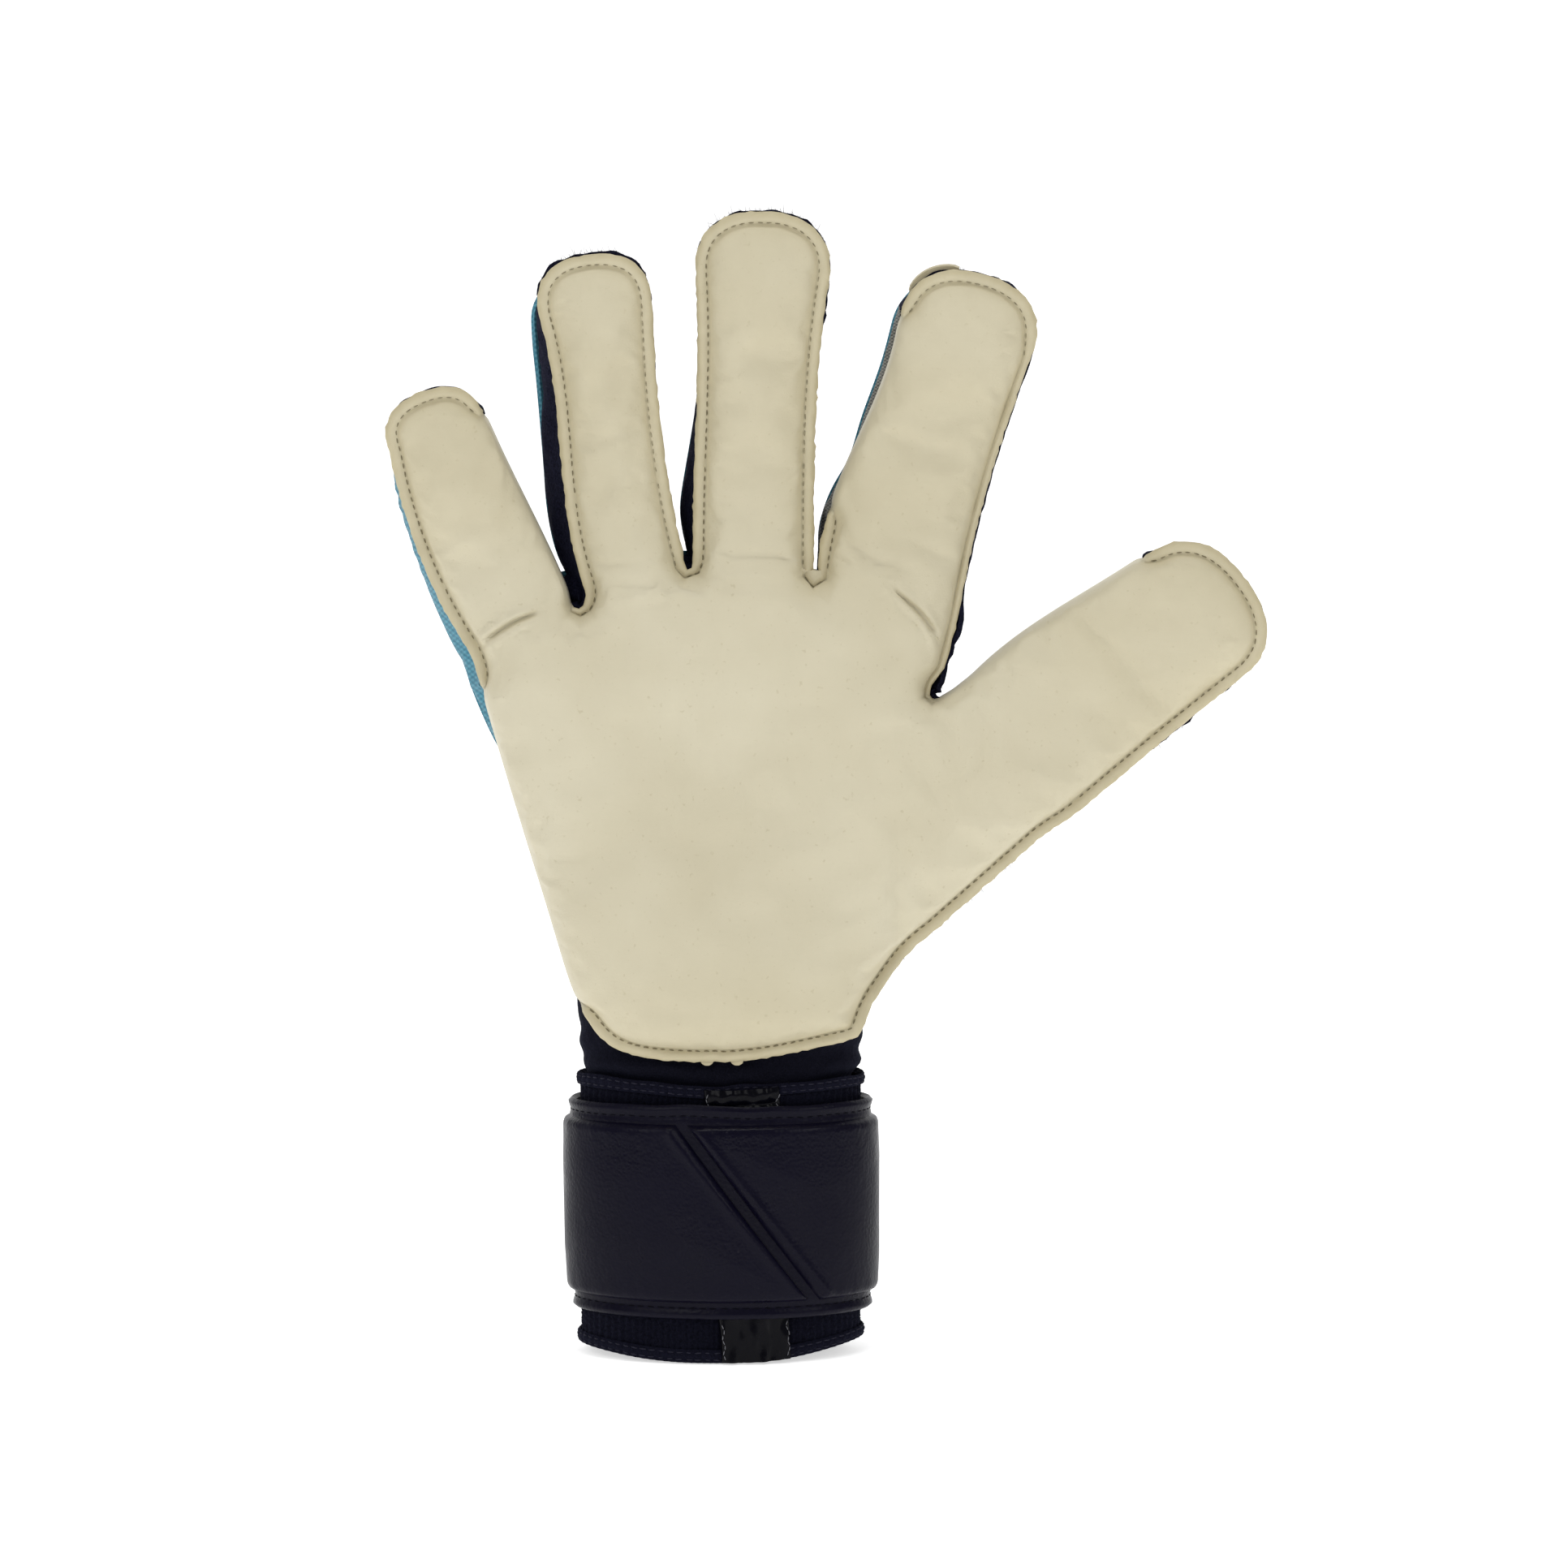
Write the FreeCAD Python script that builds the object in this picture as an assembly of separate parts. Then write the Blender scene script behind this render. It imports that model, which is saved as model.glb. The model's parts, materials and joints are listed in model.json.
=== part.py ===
import FreeCAD, Part
import math
import os
from FreeCAD import Vector

# A right-hand goalkeeper glove in its worn shape, in millimetres.
# +Z runs from the wrist opening to the fingertips, the palm faces -Y and the thumb points to +X.
# The origin is the centre of the wrist opening, at the cuff's lower edge.

# ---- driving dimensions -------------------------------------------------------------------------
# Each finger: base point (x, z) on the knuckle line, lean from +Z towards +X, half width,
# length from the knuckle hinge to the tip, knuckle and middle-joint travel in degrees.
LONG_TRAVEL = dict(knuckle=(-10, 75), middle=(0, 85))
THUMB_TRAVEL = dict(knuckle=(-10, 45), middle=(0, 65))
FINGERS = {
    "little": dict(base=(-47.2, 176.8), lean=-22.0, half=13.5, length=62.0, **LONG_TRAVEL),
    "ring": dict(base=(-20.0, 184.4), lean=-6.5, half=13.0, length=83.5, **LONG_TRAVEL),
    "index": dict(base=(41.0, 183.4), lean=14.5, half=16.6, length=82.0, **LONG_TRAVEL),
    "middle": dict(base=(8.9, 187.0), lean=1.5, half=14.0, length=90.5, **LONG_TRAVEL),
    "thumb": dict(base=(74.2, 148.8), lean=52.0, half=19.2, length=66.0, **THUMB_TRAVEL),
}
BASE_PITCH = 4.0        # how far a finger leans forward of the palm as the glove is cut
CURL = 10.0             # the extra forward bend of the outer half of a finger
MIDDLE_SHARE = 0.47     # where the middle joint lies along the finger
HINGE_SHARE = 0.3       # how much of a finger's lean its knuckle hinge takes
HINGE_DEPTH = -3.5      # the bending line, in front of the finger's centre line
JOINT_MARGIN = 2.0      # spare degrees in a flex notch
JOINT_GAP = 0.2         # clearance on each side of a joint line
NOTCH_MARGIN = 0.9      # clearance beside a finger where the palm is notched for it
TIP_OVERRUN = 5.0       # how far a tip is drawn past its end before it is trimmed to its outline

FRONT_APEX, FRONT_EDGE, FRONT_INNER = -14.0, -10.0, -7.5   # latex and foam laminate, depth from the centre
BACK_APEX, BACK_EDGE, BACK_INNER = 12.5, 9.0, 7.5          # backhand panel
SEAM_INSET = 1.5        # the gusset stands this far inside the latex edge
GUSSET_WALL = 1.8
BACK_INSET = 0.5
TIP_CORNER = 0.8        # fingertip corner radius as a share of the half width

KNUCKLE_Z, WRIST_Z = 185.0, 75.0        # the two heights at which palm depths are given
PALM_LATEX = (-15.5, -22.0, 3.5)        # outer face's y at the knuckles and at the wrist, thickness
PALM_FOAM_WALL = 3.0
BACKHAND = (13.0, 20.0, 3.5)
KNUCKLE_PAD_WALL = 3.0
PALM_SIDE_WALL = 2.0
SLAB_LOW, SLAB_HIGH = 55.0, 215.0       # heights between which the palm's sloping faces are drawn
KNUCKLE_MARGIN = 0.6                    # how far the palm reaches past each finger's half width

# The palm's cut outline as (x, z), from the thumb web round by the heel to the little-finger side.
WEB = (52.3, 159.5)
THUMB_ROOT, THUMB_HOLLOW = (52.0, 103.5), (41.5, 93.0)
WRIST_RIGHT, HEEL_RIGHT_BEND, HEEL_RIGHT = (35.5, 80.5), (34.3, 76.5), (31.0, 75.0)
HEEL_MIDDLE, HEEL_LEFT, HEEL_LEFT_BEND = (3.0, 71.8), (-25.0, 73.0), (-30.0, 75.0)
WRIST_LEFT, PALM_LEFT = (-32.5, 80.0), (-44.5, 118.0)
KNUCKLE_PAD = ((-47, 152), (-40, 166), (-12, 173), (24, 173), (47, 166), (44, 152), (12, 157), (-18, 157))

# Where each side gusset of the palm lies: lowest x, highest x, lowest z, highest z.
GUSSET_LOW = 88.0
OUTER_GUSSET = (-70.0, -30.0, GUSSET_LOW, 167.0)
THUMB_GUSSET = (34.0, 100.0, GUSSET_LOW, 138.0)
THUMB_WEB = (46.0, 75.0, 150.0, 185.0)
FINGER_WEB_WIDTH, FINGER_WEB_HEIGHT, FINGER_WEB_DROP = 3.0, 10.0, 13.0
SLEEVE_WALL, SLEEVE_CLEARANCE = 1.8, 0.5
# The sleeve's oval sections: half width, half depth, height, shift towards the back of the hand.
SLEEVE_SECTIONS = (
    (32.3, 18.8, 62.0, 0.0),
    (32.3, 18.8, 66.5, 0.0),
    (33.4, 15.6, 71.5, 0.3),
    (34.2, 14.8, 87.5, 0.3),
)

CUFF = (34.5, 21.0)                     # half width and half depth outside
CUFF_WALL, CUFF_LOW, CUFF_HIGH = 2.5, 3.0, 64.5
BINDING_WALL, BINDING_HIGH_TOP = 3.2, 68.5
STRIP_WALL, STRIP_X, STRIP_WIDTH, STRIP_SETBACK = 0.7, 7.0, 17.0, 0.5
STRAP_GROW, STRAP_WALL = 1.0, 1.3       # strap band over the cuff
STRAP_LOW, STRAP_HIGH = 11.0, 62.5
PAD_WALL, PAD_LOW, PAD_HIGH = 2.2, 15.0, 58.0
CHANNEL_TOP_X, CHANNEL_BOTTOM_X, CHANNEL_WIDTH = -8.0, 27.0, 4.4
LOOP_WALL, HOOK_WALL, HOOK_GAP = 0.8, 0.8, 0.3
# Polar angles round the wrist: 0 is the thumb side, 90 the back of the hand, 270 the palm side.
ANCHOR_START, ANCHOR_END = 20.0, 26.6   # the sewn fold that the flap swings from
FLAP_START, FLAP_END = 27.2, 140.0
BAND_START = 62.0
PAD_SPAN = (165.0, 372.0)
LOOP_SPAN, HOOK_SPAN = (84.0, 148.0), (88.0, 139.0)
TAB_START, TAB_END, TAB_LOW, TAB_HIGH = 140.6, 153.0, 25.0, 49.0

X_AXIS, Y_AXIS, Z_AXIS = Vector(1, 0, 0), Vector(0, 1, 0), Vector(0, 0, 1)
FAR = 200.0             # beyond the glove in every direction
BELOW = -10.0           # below the wrist opening
OVERRUN = 5.0           # how far a cutting outline is drawn past what it cuts
SLIVER_VOLUME = 20.0    # anything smaller is a crumb left by a cut
PIE_STEP = 45.0         # widest wedge, in degrees, between two corners of a pie


# ---- frames, planes and section solids ----------------------------------------------------------
class Frame:
    """A straight length of finger: T along it, U across it, V towards the back of the hand."""

    def __init__(self, origin, lean, pitch):
        lean, pitch = math.radians(lean), math.radians(pitch)
        along = Vector(math.sin(lean), 0, math.cos(lean))
        self.origin = origin
        self.T = along * math.cos(pitch) - Y_AXIS * math.sin(pitch)
        self.U = Vector(math.cos(lean), 0, -math.sin(lean))
        self.V = self.T.cross(self.U)

    def point(self, u, v, t):
        return self.origin + self.U * u + self.V * v + self.T * t


def plane_at(frame, t):
    """The plane square across a finger at t."""
    return frame.point(0, 0, t), frame.T


def mitre(frame, hinge, axis, side, tilt, gap=JOINT_GAP):
    """A plane through the hinge axis. side is -1 in front of it and 1 behind it. tilt leans it along +T."""
    tilt = math.radians(tilt)
    inside = frame.V * (side * math.cos(tilt)) + frame.T * math.sin(tilt)
    return hinge + frame.T * gap, axis.cross(inside)


def onto(frame, u, v, plane):
    """The point (u, v) of a section, moved along the finger onto a plane."""
    start = frame.point(u, v, 0)
    return start + frame.T * ((plane[0] - start).dot(plane[1]) / frame.T.dot(plane[1]))


def crowned(frame, half, inner, edge, apex, plane):
    """A crowned plate's section: flat inside, an arc outside, thin at both edges."""
    places = ((-half, inner), (-half, edge), (0, apex), (half, edge), (half, inner))
    a, b, middle, c, d = (onto(frame, u, v, plane) for u, v in places)
    arc = Part.Arc(b, middle, c).toShape()
    return Part.Wire([Part.makeLine(a, b), arc, Part.makeLine(c, d), Part.makeLine(d, a)])


def box_section(frame, u0, u1, v0, v1, plane):
    corners = [onto(frame, u, v, plane) for u, v in ((u0, v0), (u1, v0), (u1, v1), (u0, v1), (u0, v0))]
    return Part.makePolygon(corners)


def between(start, end):
    """The solid whose ends are two wires."""
    return Part.makeLoft([start, end], True, True)


def side_wall(frame, u0, u1, start, end):
    """A gusset wall. start and end each give (v, plane) from the front edge to the back edge."""
    faces = []
    for u in (u0, u1):
        ring = [onto(frame, u, v, p) for v, p in start] + [onto(frame, u, v, p) for v, p in reversed(end)]
        faces.append(Part.makePolygon(ring + ring[:1]))
    return between(*faces)


def tip_prism(frame, half, length, v0, v1):
    """A finger's outline with its rounded tip, extruded through the finger's depth."""
    r = half * TIP_CORNER
    c = r * (1 - math.sqrt(0.5))
    low = -FAR

    def at(u, t):
        return frame.point(u, v0, t)

    edges = [
        Part.makeLine(at(-half, low), at(-half, length - r)),
        Part.Arc(at(-half, length - r), at(-half + c, length - c), at(-half + r, length)).toShape(),
        Part.makeLine(at(-half + r, length), at(half - r, length)),
        Part.Arc(at(half - r, length), at(half - c, length - c), at(half, length - r)).toShape(),
        Part.makeLine(at(half, length - r), at(half, low)),
        Part.makeLine(at(half, low), at(-half, low)),
    ]
    return Part.Face(Part.Wire(edges)).extrude(frame.V * (v1 - v0))


# ---- one finger ---------------------------------------------------------------------------------
class Finger:
    """The straight lengths, hinges and mitre planes of one finger."""

    def __init__(self, name, base, lean, half, length, knuckle, middle):
        self.name, self.half, self.length = name, half, length
        self.inner_length = length * MIDDLE_SHARE
        centre = Vector(base[0], 0, base[1])
        self.palm = Frame(centre, lean, 0)
        self.hinge = centre + Y_AXIS * HINGE_DEPTH
        share = 1.0 if name == "thumb" else HINGE_SHARE
        hinge_lean = math.radians(lean * share)
        self.axis = Vector(math.cos(hinge_lean), 0, -math.sin(hinge_lean))
        self.base = Frame(Vector(), lean, BASE_PITCH)
        self.base.origin = self.hinge - self.base.V * HINGE_DEPTH
        self.middle_hinge = self.base.point(0, HINGE_DEPTH, self.inner_length)
        self.tip = Frame(Vector(), lean, BASE_PITCH + CURL)
        self.tip.origin = self.middle_hinge - self.tip.V * HINGE_DEPTH

        fold = (knuckle[1] + JOINT_MARGIN + BASE_PITCH) / 2
        stretch = (-knuckle[0] + JOINT_MARGIN - BASE_PITCH) / 2
        self.palm_front = mitre(self.palm, self.hinge, self.axis, -1, -fold, -JOINT_GAP)
        self.palm_back = mitre(self.palm, self.hinge, self.axis, 1, -stretch, -JOINT_GAP)
        self.base_front = mitre(self.base, self.hinge, self.axis, -1, fold)
        self.base_back = mitre(self.base, self.hinge, self.axis, 1, stretch)
        fold = (middle[1] + JOINT_MARGIN + CURL) / 2
        across = self.base.U
        self.end_front = mitre(self.base, self.middle_hinge, across, -1, -fold, -JOINT_GAP)
        self.end_back = mitre(self.base, self.middle_hinge, across, 1, CURL / 2, -JOINT_GAP)
        self.middle_mitre = mitre(self.base, self.middle_hinge, across, -1, -CURL / 2, 0)
        self.tip_front = mitre(self.tip, self.middle_hinge, across, -1, fold)
        self.tip_back = mitre(self.tip, self.middle_hinge, across, 1, -CURL / 2)

    def front_section(self, frame, plane):
        return crowned(frame, self.half, FRONT_INNER, FRONT_EDGE, FRONT_APEX, plane)

    def back_section(self, frame, plane):
        return crowned(frame, self.half - BACK_INSET, BACK_INNER, BACK_EDGE, BACK_APEX, plane)

    def walls(self, frame, start, end):
        """The two gusset walls of a length of finger, one at each side."""
        out = self.half - SEAM_INSET
        return [side_wall(frame, s * out, s * (out - GUSSET_WALL), start, end) for s in (-1, 1)]

    def profile(self, front, back):
        """A gusset end: down the front mitre to the hinge line, then along the back mitre."""
        return [(FRONT_INNER, front), (HINGE_DEPTH, back), (BACK_INNER, back)]

    def parts(self):
        made = {
            "knuckle_crease": between(self.front_section(self.palm, self.palm_front),
                                      self.front_section(self.base, self.base_front)),
            "base_latex": between(self.front_section(self.base, self.base_front),
                                  self.front_section(self.base, self.end_front)),
            "middle_crease": between(self.front_section(self.base, self.end_front),
                                     self.front_section(self.base, self.middle_mitre)).fuse(
                             between(self.front_section(self.tip, self.middle_mitre),
                                     self.front_section(self.tip, self.tip_front))),
            "base_back": between(self.back_section(self.base, self.base_back),
                                 self.back_section(self.base, self.end_back)),
            "base_gussets": Part.makeCompound(self.walls(
                self.base, self.profile(self.base_front, self.base_back),
                self.profile(self.end_front, self.end_back))),
        }
        made.update(self.tip_parts())
        return {f"{self.name}_{key}": shape for key, shape in made.items()}

    def tip_parts(self):
        length = self.length - self.inner_length
        beyond = plane_at(self.tip, length + TIP_OVERRUN)
        latex = between(self.front_section(self.tip, self.tip_front), self.front_section(self.tip, beyond))
        back = between(self.back_section(self.tip, self.tip_back), self.back_section(self.tip, beyond))
        out = self.half - SEAM_INSET
        outer = tip_prism(self.tip, out, length - SEAM_INSET, FRONT_INNER, BACK_INNER)
        inner_half = out - GUSSET_WALL
        inner = tip_prism(self.tip, inner_half, length - SEAM_INSET - GUSSET_WALL, -FAR, FAR)
        start = self.profile(self.tip_front, self.tip_back)
        end = [(v, beyond) for v, _ in start]
        back_outline = tip_prism(self.tip, self.half - BACK_INSET, length - BACK_INSET, -FAR, FAR)
        return {
            "tip_latex": latex.common(tip_prism(self.tip, self.half, length, -FAR, FAR)),
            "tip_back": back.common(back_outline),
            "tip_gusset": outer.cut(inner).common(side_wall(self.tip, -self.half, self.half, start, end)),
        }

    def notch(self):
        """What the palm leaves free for this finger: everything past its knuckle mitres."""
        wide = self.half + NOTCH_MARGIN
        beyond = plane_at(self.palm, FAR / 3)
        front = [box_section(self.palm, -wide, wide, -FAR, HINGE_DEPTH, p) for p in (self.palm_front, beyond)]
        back = [box_section(self.palm, -wide, wide, HINGE_DEPTH, FAR, p) for p in (self.palm_back, beyond)]
        return [between(*front), between(*back)]


# ---- the palm -----------------------------------------------------------------------------------
def flat(x, z):
    return Vector(x, 0, z)


def palm_outline(fingers):
    """The palm's cut outline in the XZ plane, from the wrist's little-finger corner round to the thumb."""
    top = []
    for name in ("little", "ring", "middle", "index"):
        f = fingers[name]
        reach = f.half + KNUCKLE_MARGIN
        top += [f.palm.origin - f.axis * reach, f.palm.origin + f.axis * reach]
    thumb = fingers["thumb"]
    upper, lower = thumb.palm.point(-thumb.half, 0, 0), thumb.palm.point(thumb.half, 0, 0)
    web, root = flat(*WEB), flat(*THUMB_ROOT)
    wrist_left, heel_left = flat(*WRIST_LEFT), flat(*HEEL_LEFT)
    wrist_right, heel_right = flat(*WRIST_RIGHT), flat(*HEEL_RIGHT)
    edges = [
        Part.Arc(wrist_left, flat(*PALM_LEFT), top[0]).toShape(),
        *[Part.makeLine(a, b) for a, b in zip(top, top[1:])],
        Part.makeLine(top[-1], web),
        Part.makeLine(web, upper),
        Part.makeLine(upper, lower),
        Part.makeLine(lower, root),
        Part.Arc(root, flat(*THUMB_HOLLOW), wrist_right).toShape(),
        Part.Arc(wrist_right, flat(*HEEL_RIGHT_BEND), heel_right).toShape(),
        Part.Arc(heel_right, flat(*HEEL_MIDDLE), heel_left).toShape(),
        Part.Arc(heel_left, flat(*HEEL_LEFT_BEND), wrist_left).toShape(),
    ]
    return Part.Face(Part.Wire(edges))


def slab(near, far):
    """The space between two sloping faces. Each is given by its y at the knuckles and at the wrist."""
    def y_at(face, z):
        return face[1] + (face[0] - face[1]) * (z - WRIST_Z) / (KNUCKLE_Z - WRIST_Z)

    ring = ((near, SLAB_LOW), (far, SLAB_LOW), (far, SLAB_HIGH), (near, SLAB_HIGH))
    corners = [Vector(-FAR, y_at(face, z), z) for face, z in ring]
    return Part.Face(Part.makePolygon(corners + corners[:1])).extrude(X_AXIS * 2 * FAR)


def without_slivers(shape):
    """The shape's solids, without the crumbs that a cut can leave between two finger notches."""
    return Part.makeCompound([solid for solid in shape.Solids if solid.Volume > SLIVER_VOLUME])


def shifted(face, by):
    return face[0] + by, face[1] + by


def through(face):
    """A flat outline in the XZ plane, extruded right through the glove."""
    moved = face.copy()
    moved.translate(Vector(0, -FAR / 2, 0))
    return moved.extrude(Y_AXIS * FAR)


def finger_web_box(left, right):
    """The space of the web between two neighbouring fingers."""
    centre = (left.palm.origin + left.axis * left.half + right.palm.origin - right.axis * right.half) * 0.5
    corner = Vector(centre.x - FINGER_WEB_WIDTH / 2, -FAR / 2, centre.z - FINGER_WEB_DROP)
    return Part.makeBox(FINGER_WEB_WIDTH, FAR, FINGER_WEB_HEIGHT, corner)


def palm_parts(fingers):
    outline = palm_outline(fingers)
    prism = through(outline)
    notches = [n for f in fingers.values() for n in f.notch()]
    front = PALM_LATEX[:2]
    latex_back = shifted(front, PALM_LATEX[2])
    foam_back = shifted(latex_back, PALM_FOAM_WALL)
    back = BACKHAND[:2]
    back_inner = shifted(back, -BACKHAND[2])
    inset = outline.makeOffset2D(-SEAM_INSET)
    wall_prism = through(inset).cut(through(inset.makeOffset2D(-PALM_SIDE_WALL)))
    walls = wall_prism.common(slab(foam_back, back_inner)).cut(Part.makeCompound(notches))

    def piece(solid, near, far):
        return without_slivers(solid.common(slab(near, far)).cut(Part.makeCompound(notches)))

    def boxed(shape, x0, x1, z0, z1):
        return shape.common(Part.makeBox(x1 - x0, FAR, z1 - z0, Vector(x0, -FAR / 2, z0)))

    pad = Part.Face(Part.makePolygon([flat(*p) for p in KNUCKLE_PAD + KNUCKLE_PAD[:1]]))
    neighbours = (("little", "ring"), ("ring", "middle"), ("middle", "index"))
    webs = [piece(finger_web_box(fingers[a], fingers[b]), foam_back, back_inner) for a, b in neighbours]
    return {
        "palm_latex": piece(prism, front, latex_back),
        "palm_foam": piece(through(inset), latex_back, foam_back),
        "backhand_panel": piece(through(inset), back_inner, back),
        "knuckle_pad": through(pad).common(slab(back, shifted(back, KNUCKLE_PAD_WALL))),
        "outer_side_gusset": boxed(walls, *OUTER_GUSSET),
        "thumb_side_gusset": boxed(walls, *THUMB_GUSSET),
        "thumb_web_gusset": boxed(walls, *THUMB_WEB),
        "finger_webs": Part.makeCompound(webs),
    }


# ---- the wrist ----------------------------------------------------------------------------------
def ellipse_wire(a, b, z, y=0.0):
    """An ellipse a by b about the wrist's axis, as a wire."""
    return Part.Wire([Part.Ellipse(Vector(0, y, z), a, b).toShape()])


def ellipse_solid(a, b, z0, z1):
    return Part.Face(ellipse_wire(a, b, z0)).extrude(Z_AXIS * (z1 - z0))


def tube(grow, wall, z0, z1):
    """An oval tube whose inner face stands grow outside the cuff's outer face."""
    a, b = CUFF[0] + grow, CUFF[1] + grow
    return ellipse_solid(a + wall, b + wall, z0, z1).cut(ellipse_solid(a, b, z0, z1))


def pie(start, end):
    """The wedge between two polar angles about the wrist's axis."""
    steps = max(2, math.ceil((end - start) / PIE_STEP))
    angles = [math.radians(start + (end - start) * i / steps) for i in range(steps + 1)]
    ring = [Vector(FAR * math.cos(a), FAR * math.sin(a), BELOW) for a in angles]
    centre = Vector(0, 0, BELOW)
    return Part.Face(Part.makePolygon([centre] + ring + [centre])).extrude(Z_AXIS * FAR)


def band(grow, wall, z0, z1, start, end):
    """Part of an oval tube, between two polar angles."""
    return tube(grow, wall, z0, z1).common(pie(start, end))


def sleeve():
    """The stretch fabric that joins the cuff to the hand."""
    def body(wall):
        sections = [ellipse_wire(a - wall, b - wall, z, y) for a, b, z, y in SLEEVE_SECTIONS]
        return Part.makeLoft(sections, True, True)

    return body(SLEEVE_CLEARANCE).cut(body(SLEEVE_CLEARANCE + SLEEVE_WALL))


def strap_pads():
    """The two raised panels on the palm side of the strap, with a slanting channel between them."""
    outer = STRAP_GROW + STRAP_WALL
    ring = band(outer, PAD_WALL, PAD_LOW, PAD_HIGH, *PAD_SPAN)
    slope = (CHANNEL_TOP_X - CHANNEL_BOTTOM_X) / (PAD_HIGH - PAD_LOW)

    def line_x(z):
        return CHANNEL_BOTTOM_X + slope * (z - PAD_LOW)

    def half(side):
        reach = side * CHANNEL_WIDTH / 2
        low, high = PAD_LOW - OVERRUN, PAD_HIGH + OVERRUN
        corners = [flat(line_x(low) + reach, low), flat(line_x(high) + reach, high),
                   flat(side * FAR, high), flat(side * FAR, low)]
        face = Part.Face(Part.makePolygon(corners + corners[:1]))
        face.translate(Vector(0, FAR / 2, 0))
        return ring.common(face.extrude(Y_AXIS * -FAR))

    return {"strap_pad_outer": half(-1), "strap_pad_thumb": half(1)}


def wrist_parts():
    top = STRAP_GROW + STRAP_WALL
    flap_grow = top + LOOP_WALL + HOOK_GAP + HOOK_WALL
    strip = tube(0, STRIP_WALL, STRIP_SETBACK, BINDING_HIGH_TOP - STRIP_SETBACK)
    strip_box = Part.makeBox(STRIP_WIDTH, FAR, FAR, Vector(STRIP_X - STRIP_WIDTH / 2, -FAR, BELOW))
    seam_strip = strip.common(strip_box)
    lower = tube(-BINDING_WALL, BINDING_WALL, 0, CUFF_LOW)
    upper = tube(-CUFF_WALL, CUFF_WALL, CUFF_HIGH, BINDING_HIGH_TOP)
    strap = band(STRAP_GROW, STRAP_WALL, STRAP_LOW, STRAP_HIGH, BAND_START, ANCHOR_END + 360)
    anchor_wall = flap_grow + STRAP_WALL - STRAP_GROW
    anchor = band(STRAP_GROW, anchor_wall, STRAP_LOW, STRAP_HIGH, ANCHOR_START, ANCHOR_END)
    made = {
        "wrist_sleeve": sleeve(),
        "cuff_band": tube(-CUFF_WALL, CUFF_WALL, CUFF_LOW, CUFF_HIGH),
        "cuff_top_binding": upper,
        "cuff_bottom_binding": lower,
        "cuff_seam_strip": seam_strip,
        "strap_band": strap.fuse(anchor),
        "strap_loop_patch": band(top, LOOP_WALL, PAD_LOW, PAD_HIGH, *LOOP_SPAN),
        "strap_flap": band(flap_grow, STRAP_WALL, STRAP_LOW, STRAP_HIGH, FLAP_START, FLAP_END),
        "strap_hook_patch": band(flap_grow - HOOK_WALL, HOOK_WALL, PAD_LOW, PAD_HIGH, *HOOK_SPAN),
        "strap_pull_tab": band(flap_grow, STRAP_WALL, TAB_LOW, TAB_HIGH, TAB_START, TAB_END),
    }
    made.update(strap_pads())
    return made


def main():
    os.makedirs("parts", exist_ok=True)
    fingers = {name: Finger(name, **dims) for name, dims in FINGERS.items()}
    shapes = {**palm_parts(fingers), **wrist_parts()}
    for finger in fingers.values():
        shapes.update(finger.parts())
    for name, shape in shapes.items():
        shape.exportStep(f"parts/{name}.step")


main()
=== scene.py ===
import json
import math

import bpy
import numpy as np
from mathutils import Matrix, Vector
from mathutils.bvhtree import BVHTree
from mathutils.geometry import delaunay_2d_cdt


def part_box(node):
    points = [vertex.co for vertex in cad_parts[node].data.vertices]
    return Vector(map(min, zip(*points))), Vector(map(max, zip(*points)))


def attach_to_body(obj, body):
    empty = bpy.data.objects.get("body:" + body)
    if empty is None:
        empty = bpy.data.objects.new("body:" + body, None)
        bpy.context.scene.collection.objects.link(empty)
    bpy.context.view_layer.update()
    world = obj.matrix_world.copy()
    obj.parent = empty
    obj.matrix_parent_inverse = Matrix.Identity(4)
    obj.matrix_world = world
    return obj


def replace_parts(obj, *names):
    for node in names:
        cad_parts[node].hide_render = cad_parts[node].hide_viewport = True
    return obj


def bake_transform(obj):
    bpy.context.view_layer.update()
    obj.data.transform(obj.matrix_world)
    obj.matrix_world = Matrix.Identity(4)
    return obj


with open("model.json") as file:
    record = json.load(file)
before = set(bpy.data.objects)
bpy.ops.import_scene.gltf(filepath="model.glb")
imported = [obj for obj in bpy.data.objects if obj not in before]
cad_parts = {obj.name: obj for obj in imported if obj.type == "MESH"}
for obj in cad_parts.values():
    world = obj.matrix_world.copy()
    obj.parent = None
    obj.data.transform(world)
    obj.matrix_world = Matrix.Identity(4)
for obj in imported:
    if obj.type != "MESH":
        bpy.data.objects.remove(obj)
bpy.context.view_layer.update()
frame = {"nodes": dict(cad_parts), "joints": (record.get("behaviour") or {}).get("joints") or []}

# Lengths in this script are millimetres, in the frame's axes: x towards the thumb, z to the fingertips,
# the palm faces -y. They are turned into metres where a mesh is made.
MM = 0.001
JOINTS = {j["name"]: j for j in frame["joints"]}
RANDOM = np.random.default_rng(7)


# ---- small tools --------------------------------------------------------------------------------
def smoothstep(x):
    x = np.clip(x, 0.0, 1.0)
    return x * x * (3 - 2 * x)


def bell(x, width):
    """A smooth bump of height 1 about x = 0."""
    return np.exp(-(x / width) ** 2)


def rounded(share):
    """A quarter circle's rise, from 0 where share is 0 to 1 where it is 1."""
    return np.sqrt(np.clip(1 - (1 - np.clip(share, 0, 1)) ** 2, 0, 1))


def at_depth(flat, y):
    """Flat points, given as x and z, at depth y."""
    return np.stack([flat[:, 0], y, flat[:, 1]], axis=1)


def flipped(faces):
    return [tuple(reversed(f)) for f in faces]


def length_along(line):
    """Each point's distance along a line of points."""
    return np.concatenate([[0], np.cumsum(np.linalg.norm(np.diff(line, axis=0), axis=1))])


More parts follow.
